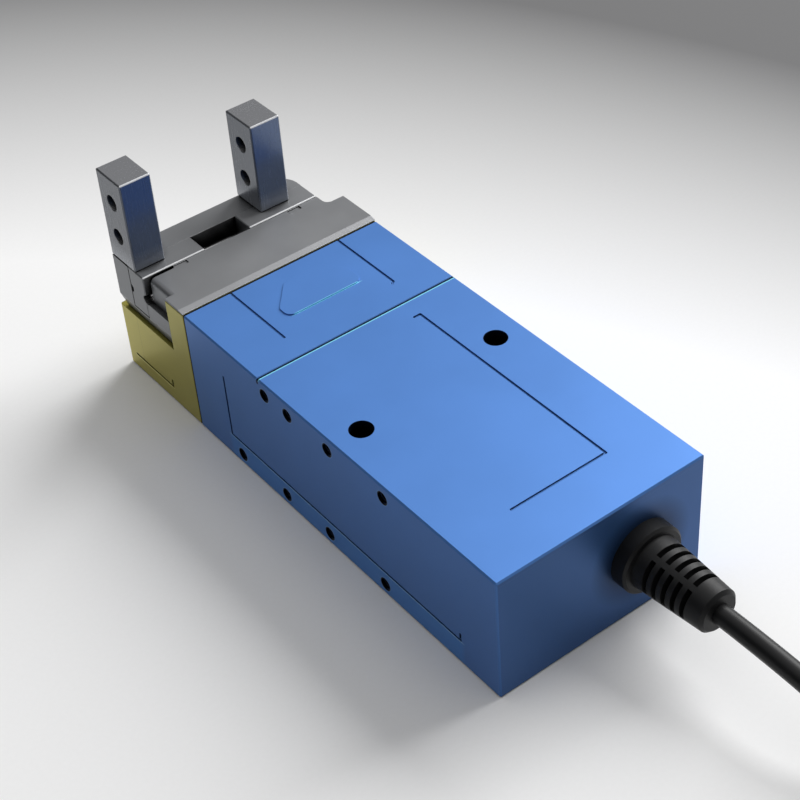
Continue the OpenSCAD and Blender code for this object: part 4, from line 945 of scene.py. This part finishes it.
def head_tones(nodes, body):
    """Painted light on the side faces towards the nose, a painted highlight on the lip under the
    side groove, and a painted shadow in the joint with the blue body.
    """
    axes, ends = nodes.axes("Object"), facing_sides(nodes)
    front = ramp(nodes, axes["Y"], NOSE_Y - 24, NOSE_Y, 0.0, 0.5)
    toned = nodes.mix(nodes.times(front, ends), body, GOLD_NOSE_LIGHT)
    lip = nodes.times(
        band(nodes, axes["Z"], 4.35, 4.8), band(nodes, axes["Y"], NOSE_Y - 22, NOSE_Y - 4, 1.0)
    )
    toned = nodes.mix(nodes.times(lip, ends, 0.9), toned, GOLD_LIP_GLINT)
    return nodes.mix(band(nodes, axes["Y"], HEAD_Y - 0.1, HEAD_Y + 0.26), toned, GOLD_SEAM_SHADOW)


def silver_tones(nodes, body):
    """Painted shade on the end faces, and a painted highlight on the chamfer of each carriage
    beside the guide's wall.
    """
    axes = nodes.axes("Object")
    toned = nodes.mix(facing_sides(nodes, 0.8), body, SILVER_END_SHADE)
    high = ramp(nodes, axes["Z"], CARRIAGE_TOP - 0.3, CARRIAGE_TOP - 0.2, 0.0, 1.0)
    lip = band(nodes, axes["Y"], CARRIAGE_REAR - 0.1, CARRIAGE_REAR + 0.34)
    return nodes.mix(nodes.times(high, lip), toned, PAINTED_GLINT)


def finger_tones(nodes, body):
    """Each ground face of a finger gets its own painted light or shade.

    Lighter tops, a painted reflection of the blue body on its back, darker sides, a painted
    reflection on its foot and a painted highlight along its top edge.
    """
    axes, normal = nodes.axes("Object"), nodes.axes("Normal")
    toned = nodes.mix(facing(nodes, normal["Z"], 0.85), body, FINGER_TOP_LIGHT)
    toned = nodes.mix(facing(nodes, normal["Y"], 0.85, -1), toned, FINGER_BACK_REFLECTION)
    toned = nodes.mix(facing_sides(nodes, 0.85), toned, FINGER_SIDE_SHADE)
    foot = ramp(nodes, axes["Z"], CARRIAGE_TOP + 0.5, CARRIAGE_TOP + 5.5, 0.7, 0.0)
    toned = nodes.mix(foot, toned, FINGER_FOOT_REFLECTION)
    high = ramp(nodes, axes["Z"], FINGER_TOP - 0.4, FINGER_TOP - 0.3, 0.0, 1.0)
    edge = ramp(nodes, axes["Y"], FINGER_REAR + 0.4, FINGER_REAR + 0.3, 0.0, 1.0)
    return nodes.mix(nodes.times(high, edge, 0.9), toned, PAINTED_GLINT)


TURN_STEPS = 24
RIDGE_SIDES = 3


def thread_turns_tree():
    """A helical ridge of triangular section, set into each hole that a point stands for."""
    tree = bpy.data.node_groups.new("Thread Turns", "GeometryNodeTree")
    nodes = Tree(tree)
    for label, kind in (
        ("Holes", "NodeSocketGeometry"), ("Bore Radius", FLOAT),
        ("Pitch", FLOAT), ("Depth", FLOAT),
        ("Turns", "NodeSocketInt"), ("Material", "NodeSocketMaterial"),
    ):
        tree.interface.new_socket(label, in_out="INPUT", socket_type=kind)
    tree.interface.new_socket("Threads", in_out="OUTPUT", socket_type="NodeSocketGeometry")
    enter = nodes.add("NodeGroupInput")
    leave = nodes.add("NodeGroupOutput")
    helix = nodes.add("GeometryNodeCurveSpiral")
    helix.inputs["Resolution"].default_value = TURN_STEPS
    nodes.join(enter.outputs["Turns"], helix.inputs["Rotations"])
    for end in ("Start Radius", "End Radius"):
        nodes.join(enter.outputs["Bore Radius"], helix.inputs[end])
    nodes.join(
        nodes.times(enter.outputs["Turns"], enter.outputs["Pitch"]), helix.inputs["Height"]
    )
    ridge = nodes.add("GeometryNodeCurvePrimitiveCircle", mode="RADIUS")
    ridge.inputs["Resolution"].default_value = RIDGE_SIDES
    nodes.join(enter.outputs["Depth"], ridge.inputs["Radius"])
    solid = nodes.add("GeometryNodeCurveToMesh")
    nodes.join(helix.outputs["Curve"], solid.inputs["Curve"])
    nodes.join(ridge.outputs["Curve"], solid.inputs["Profile Curve"])
    solid.inputs["Fill Caps"].default_value = True
    across = nodes.add("GeometryNodeTransform")
    nodes.join(solid.outputs["Mesh"], across.inputs["Geometry"])
    across.inputs["Rotation"].default_value = (0.0, math.radians(90), 0.0)
    copies = nodes.add("GeometryNodeInstanceOnPoints")
    nodes.join(enter.outputs["Holes"], copies.inputs["Points"])
    nodes.join(across.outputs["Geometry"], copies.inputs["Instance"])
    real = nodes.add("GeometryNodeRealizeInstances")
    nodes.join(copies.outputs["Instances"], real.inputs["Geometry"])
    dressed = nodes.add("GeometryNodeSetMaterial")
    nodes.join(real.outputs["Geometry"], dressed.inputs["Geometry"])
    nodes.join(enter.outputs["Material"], dressed.inputs["Material"])
    nodes.join(dressed.outputs["Geometry"], leave.inputs["Threads"])
    return tree


class GRIPPER_OT_threads(bpy.types.Operator):
    """Sets thread turns into the tapped holes in both sides of the housing"""

    bl_idname = "gripper.threads"
    bl_label = "Threads"

    def execute(self, context):
        thread = context.scene.gripper_thread
        finish = context.scene.gripper_finish
        length = thread.turns * thread.pitch
        near = SIDE_X * MM - thread.set_back
        spots = [
            (x, y * MM, z * MM) for y, z in SIDE_HOLES for x in (-near, near - length)
        ]
        places = bpy.data.meshes.new("side_hole_places")
        places.from_pydata(spots, [], [])
        # The ridges are dark navy: painted shade inside the side holes.
        ridges = ground_metal(
            "tapped_thread", finish, (0.03, 0.05, 0.11), 0.35, (1.0, 1.0, 1.0), 0.0,
            metallic=0.6, recess=0.9,
        )
        piece = bpy.data.objects.new("side_threads", places)
        context.scene.collection.objects.link(piece)
        tree = thread_turns_tree()
        values = {
            "Bore Radius": thread.bore_radius,
            "Pitch": thread.pitch,
            "Depth": thread.depth,
            "Turns": thread.turns,
            "Material": ridges,
        }
        turns = piece.modifiers.new("Thread Turns", "NODES")
        turns.node_group = tree
        for socket in tree.interface.items_tree:
            if socket.name in values:
                turns[socket.identifier] = values[socket.name]
        context.view_layer.update()
        graph = context.evaluated_depsgraph_get()
        baked = bpy.data.meshes.new_from_object(piece.evaluated_get(graph), depsgraph=graph)
        piece.modifiers.remove(turns)
        piece.data = baked
        piece.data.name = "side_threads"
        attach(piece, "frame")
        return {"FINISHED"}


class GRIPPER_OT_head(bpy.types.Operator):
    """Finishes the olive gold head block and its cover"""

    bl_idname = "gripper.head"
    bl_label = "Head"

    def execute(self, context):
        finish = context.scene.gripper_finish
        gold = blasted_metal(
            "gold_anodised", finish, finish.gold, 0.4, 0.5, 0.5, lit_colour=GOLD_EDGE_GLINT,
            tint=0.14, extra=head_tones,
        )
        finish_nodes(gold, "head_block", "head_cover")
        return {"FINISHED"}


class GRIPPER_OT_jaws(bpy.types.Operator):
    """Finishes the jaw guide, the carriages, the guide rods and the fingers"""

    bl_idname = "gripper.jaws"
    bl_label = "Jaws"

    def execute(self, context):
        finish = context.scene.gripper_finish
        silver = blasted_metal(
            "silver_blasted", finish, finish.silver, 0.36, 0.5, 1.0, tint=0.2, bump=0.08,
            shaded=0.5, recess=1.0, extra=silver_tones, open_share=0.66,
        )
        finish_nodes(silver, "jaw_guide", "left_carriage", "right_carriage")
        steel = ground_metal(
            "finger_steel", finish, finish.finger, 0.24, (1.0, 1.0, 0.06), 1.0, scale=3000.0,
            bump=0.03, tint=0.08, metallic=0.45, shaded=0.9, recess=0.95, extra=finger_tones,
            edge_share=1.7,
        )
        finish_nodes(steel, "left_finger", "right_finger")
        rods = ground_metal("ground_rod", finish, finish.steel, 0.2, (0.04, 1.0, 1.0), 0.1)
        finish_nodes(rods, "guide_rods")
        return {"FINISHED"}


class GRIPPER_OT_drive(bpy.types.Operator):
    """Finishes the racks, the gears, the shafts and their bearings"""

    bl_idname = "gripper.drive"
    bl_label = "Drive"

    def execute(self, context):
        finish = context.scene.gripper_finish
        turned = ground_metal("turned_steel", finish, finish.steel, 0.22, LINES_Y, 0.2)
        finish_nodes(
            turned, "output_shaft", "planet_pins", "rotor_shaft", "output_bearing_front",
            "output_bearing_rear", "motor_bearing_front", "motor_bearing_rear",
        )
        hard = ground_metal(
            "hardened_steel", finish, finish.dark_steel, 0.34, (0.06, 1.0, 1.0), 0.4
        )
        finish_nodes(hard, "left_rack", "right_rack", "ring_gear")
        bronze = ground_metal("hobbed_bronze", finish, finish.bronze, 0.3, LINES_Y, 0.4)
        finish_nodes(
            bronze, "pinion", "sun_gear", "planet_gear_1", "planet_gear_2", "planet_gear_3"
        )
        return {"FINISHED"}


class GRIPPER_OT_motor(bpy.types.Operator):
    """Finishes the motor, its end plates and the encoder disc"""

    bl_idname = "gripper.motor"
    bl_label = "Motor"

    def execute(self, context):
        finish = context.scene.gripper_finish
        finish_nodes(
            moulded("black_enamel", (0.02, 0.02, 0.022), 0.35, 0.0006, 0.15, coat=0.3),
            "motor_can",
        )
        finish_nodes(
            ground_metal("turned_aluminium", finish, (0.66, 0.66, 0.68), 0.3, LINES_Y, 0.2),
            "motor_front_plate", "motor_rear_cap", "gearbox_front_plate", "encoder_disc",
            "encoder_spacers", "board_spacers",
        )
        finish_nodes(
            ground_metal(
                "laminated_steel", finish, (0.28, 0.28, 0.30), 0.4, (0.05, 1.0, 0.05), 0.1,
                3000.0, 0.5,
            ),
            "stator_core",
        )
        finish_nodes(wound_copper_material(), "stator_windings")
        finish_nodes(
            moulded("sintered_magnet", (0.09, 0.09, 0.10), 0.3, 0.0003, 0.1, coat=0.2),
            "rotor_magnet",
        )
        return {"FINISHED"}


class GRIPPER_OT_electronics(bpy.types.Operator):
    """Finishes the circuit boards and their parts"""

    bl_idname = "gripper.electronics"
    bl_label = "Electronics"

    def execute(self, context):
        finish_nodes(circuit_board_material(), "driver_board", "encoder_board")
        finish_nodes(
            moulded("chip_epoxy", (0.02, 0.02, 0.022), 0.38, 0.0003, 0.2), "driver_parts"
        )
        return {"FINISHED"}


class GRIPPER_OT_screws(bpy.types.Operator):
    """Finishes every screw"""

    bl_idname = "gripper.screws"
    bl_label = "Screws"

    def execute(self, context):
        finish = context.scene.gripper_finish
        plated = ground_metal(
            "plated_screw", finish, (0.45, 0.45, 0.46), 0.28, (1.0, 1.0, 0.3), 0.4, 700.0
        )
        finish_nodes(
            plated, "cover_screws", "head_screws", "guide_screws", "left_finger_screws",
            "right_finger_screws", "left_rack_screws", "right_rack_screw",
            "pinion_set_screw", "board_screws",
        )
        return {"FINISHED"}


TABLE_HALF_WIDTH = 4.0
TABLE_DROP = 0.05 * MM


class GRIPPER_OT_stage(bpy.types.Operator):
    """Sets up the pale table, the soft lamp and the light of the room"""

    bl_idname = "gripper.stage"
    bl_label = "Stage"

    def execute(self, context):
        stage = context.scene.gripper_stage
        self.table(context.scene, stage)
        self.lamp(context.scene, stage)
        world = bpy.data.worlds.new("room")
        world.use_nodes = True
        nodes = Tree(world.node_tree)
        light = nodes.remap(
            nodes.axes("Generated")["Z"], stage.room_start, stage.room_end,
            stage.room_low, stage.room_high,
        )
        nodes.join(light, world.node_tree.nodes["Background"].inputs["Color"])
        context.scene.world = world
        context.scene.view_settings.view_transform = "Standard"
        return {"FINISHED"}

    @staticmethod
    def table_material(stage):
        """A pale table with painted shade that darkens it far behind the gripper; it throws
        little light back.
        """
        material, nodes, shader = new_material("pale_table")
        axes = nodes.axes("Object")
        sine, cosine = math.sin(stage.azimuth), math.cos(stage.azimuth)

        def along(x, y):
            return nodes.math("ADD", nodes.times(axes["X"], x), nodes.times(axes["Y"], y))

        across = along(cosine, -sine)
        sides = nodes.times(nodes.math("POWER", across, 2.0), stage.far_curve)
        tilt = stage.far_tilt
        away = nodes.math("ADD", along(sine + tilt * cosine, cosine - tilt * sine), sides)
        # Painted shade: the table's colour darkens far behind the gripper.
        far = nodes.remap(away, stage.far_start, stage.far_end, 0.0, 1.0)
        shade = nodes.mix(far, tuple(stage.table), tuple(stage.table_far))
        speck = nodes.remap(nodes.noise(nodes.place(), 900.0), 0.3, 0.7, 0.985, 1.0)
        dusty = nodes.mix(nodes.inverse(speck), shade, BLACK)
        rays = nodes.add("ShaderNodeLightPath")
        bounce = nodes.times(rays.outputs["Is Diffuse Ray"], 1.0 - stage.bounce)
        nodes.join(nodes.mix(bounce, dusty, BLACK), shader.inputs["Base Color"])
        shader.inputs["Roughness"].default_value = 0.8
        shader.inputs["Specular IOR Level"].default_value = 0.1
        return material

    def table(self, scene, stage):
        build = bmesh.new()
        bmesh.ops.create_grid(build, x_segments=8, y_segments=8, size=TABLE_HALF_WIDTH)
        mesh = bpy.data.meshes.new("table")
        build.to_mesh(mesh)
        build.free()
        mesh.materials.append(self.table_material(stage))
        table = bpy.data.objects.new("table", mesh)
        scene.collection.objects.link(table)
        table.location.z = -TABLE_DROP

    @staticmethod
    def lamp(scene, stage):
        light = bpy.data.lights.new("key_lamp", "AREA")
        light.energy = stage.key_power
        light.size = stage.key_size
        holder = bpy.data.objects.new("key_lamp", light)
        holder.location = stage.key_place
        aim = -Vector(stage.key_place)
        holder.rotation_euler = aim.to_track_quat("-Z", "Y").to_euler()
        scene.collection.objects.link(holder)


class GRIPPER_PT_panel(bpy.types.Panel):
    """Sizes, colours and steps of the gripper"""

    bl_label = "Two Finger Gripper"
    bl_idname = "GRIPPER_PT_panel"
    bl_space_type = "VIEW_3D"
    bl_region_type = "UI"
    bl_category = "Gripper"

    def draw(self, context):
        scene = context.scene
        for title, group in (
            ("Finish", scene.gripper_finish),
            ("Cable", scene.gripper_cable),
            ("Thread", scene.gripper_thread),
            ("Stage", scene.gripper_stage),
        ):
            box = self.layout.box()
            box.label(text=title)
            for key in group.__annotations__:
                box.prop(group, key)
        for step in STEPS:
            self.layout.operator(step.bl_idname)


STEPS = (
    GRIPPER_OT_camera,
    GRIPPER_OT_cable,
    GRIPPER_OT_sleeve,
    GRIPPER_OT_housing,
    GRIPPER_OT_threads,
    GRIPPER_OT_head,
    GRIPPER_OT_jaws,
    GRIPPER_OT_drive,
    GRIPPER_OT_motor,
    GRIPPER_OT_electronics,
    GRIPPER_OT_screws,
    GRIPPER_OT_stage,
)
SETTINGS = {
    "gripper_finish": GripperFinishSettings,
    "gripper_cable": GripperCableSettings,
    "gripper_thread": GripperThreadSettings,
    "gripper_stage": GripperStageSettings,
}


def register():
    for cls in (*SETTINGS.values(), *STEPS, GRIPPER_PT_panel):
        bpy.utils.register_class(cls)
    for name, group in SETTINGS.items():
        setattr(bpy.types.Scene, name, PointerProperty(type=group))


def unregister():
    for name in SETTINGS:
        delattr(bpy.types.Scene, name)
    for cls in reversed((*SETTINGS.values(), *STEPS, GRIPPER_PT_panel)):
        bpy.utils.unregister_class(cls)


def main():
    register()
    for step in STEPS:
        family, name = step.bl_idname.split(".")
        getattr(getattr(bpy.ops, family), name)()


if __name__ == "__main__":
    main()
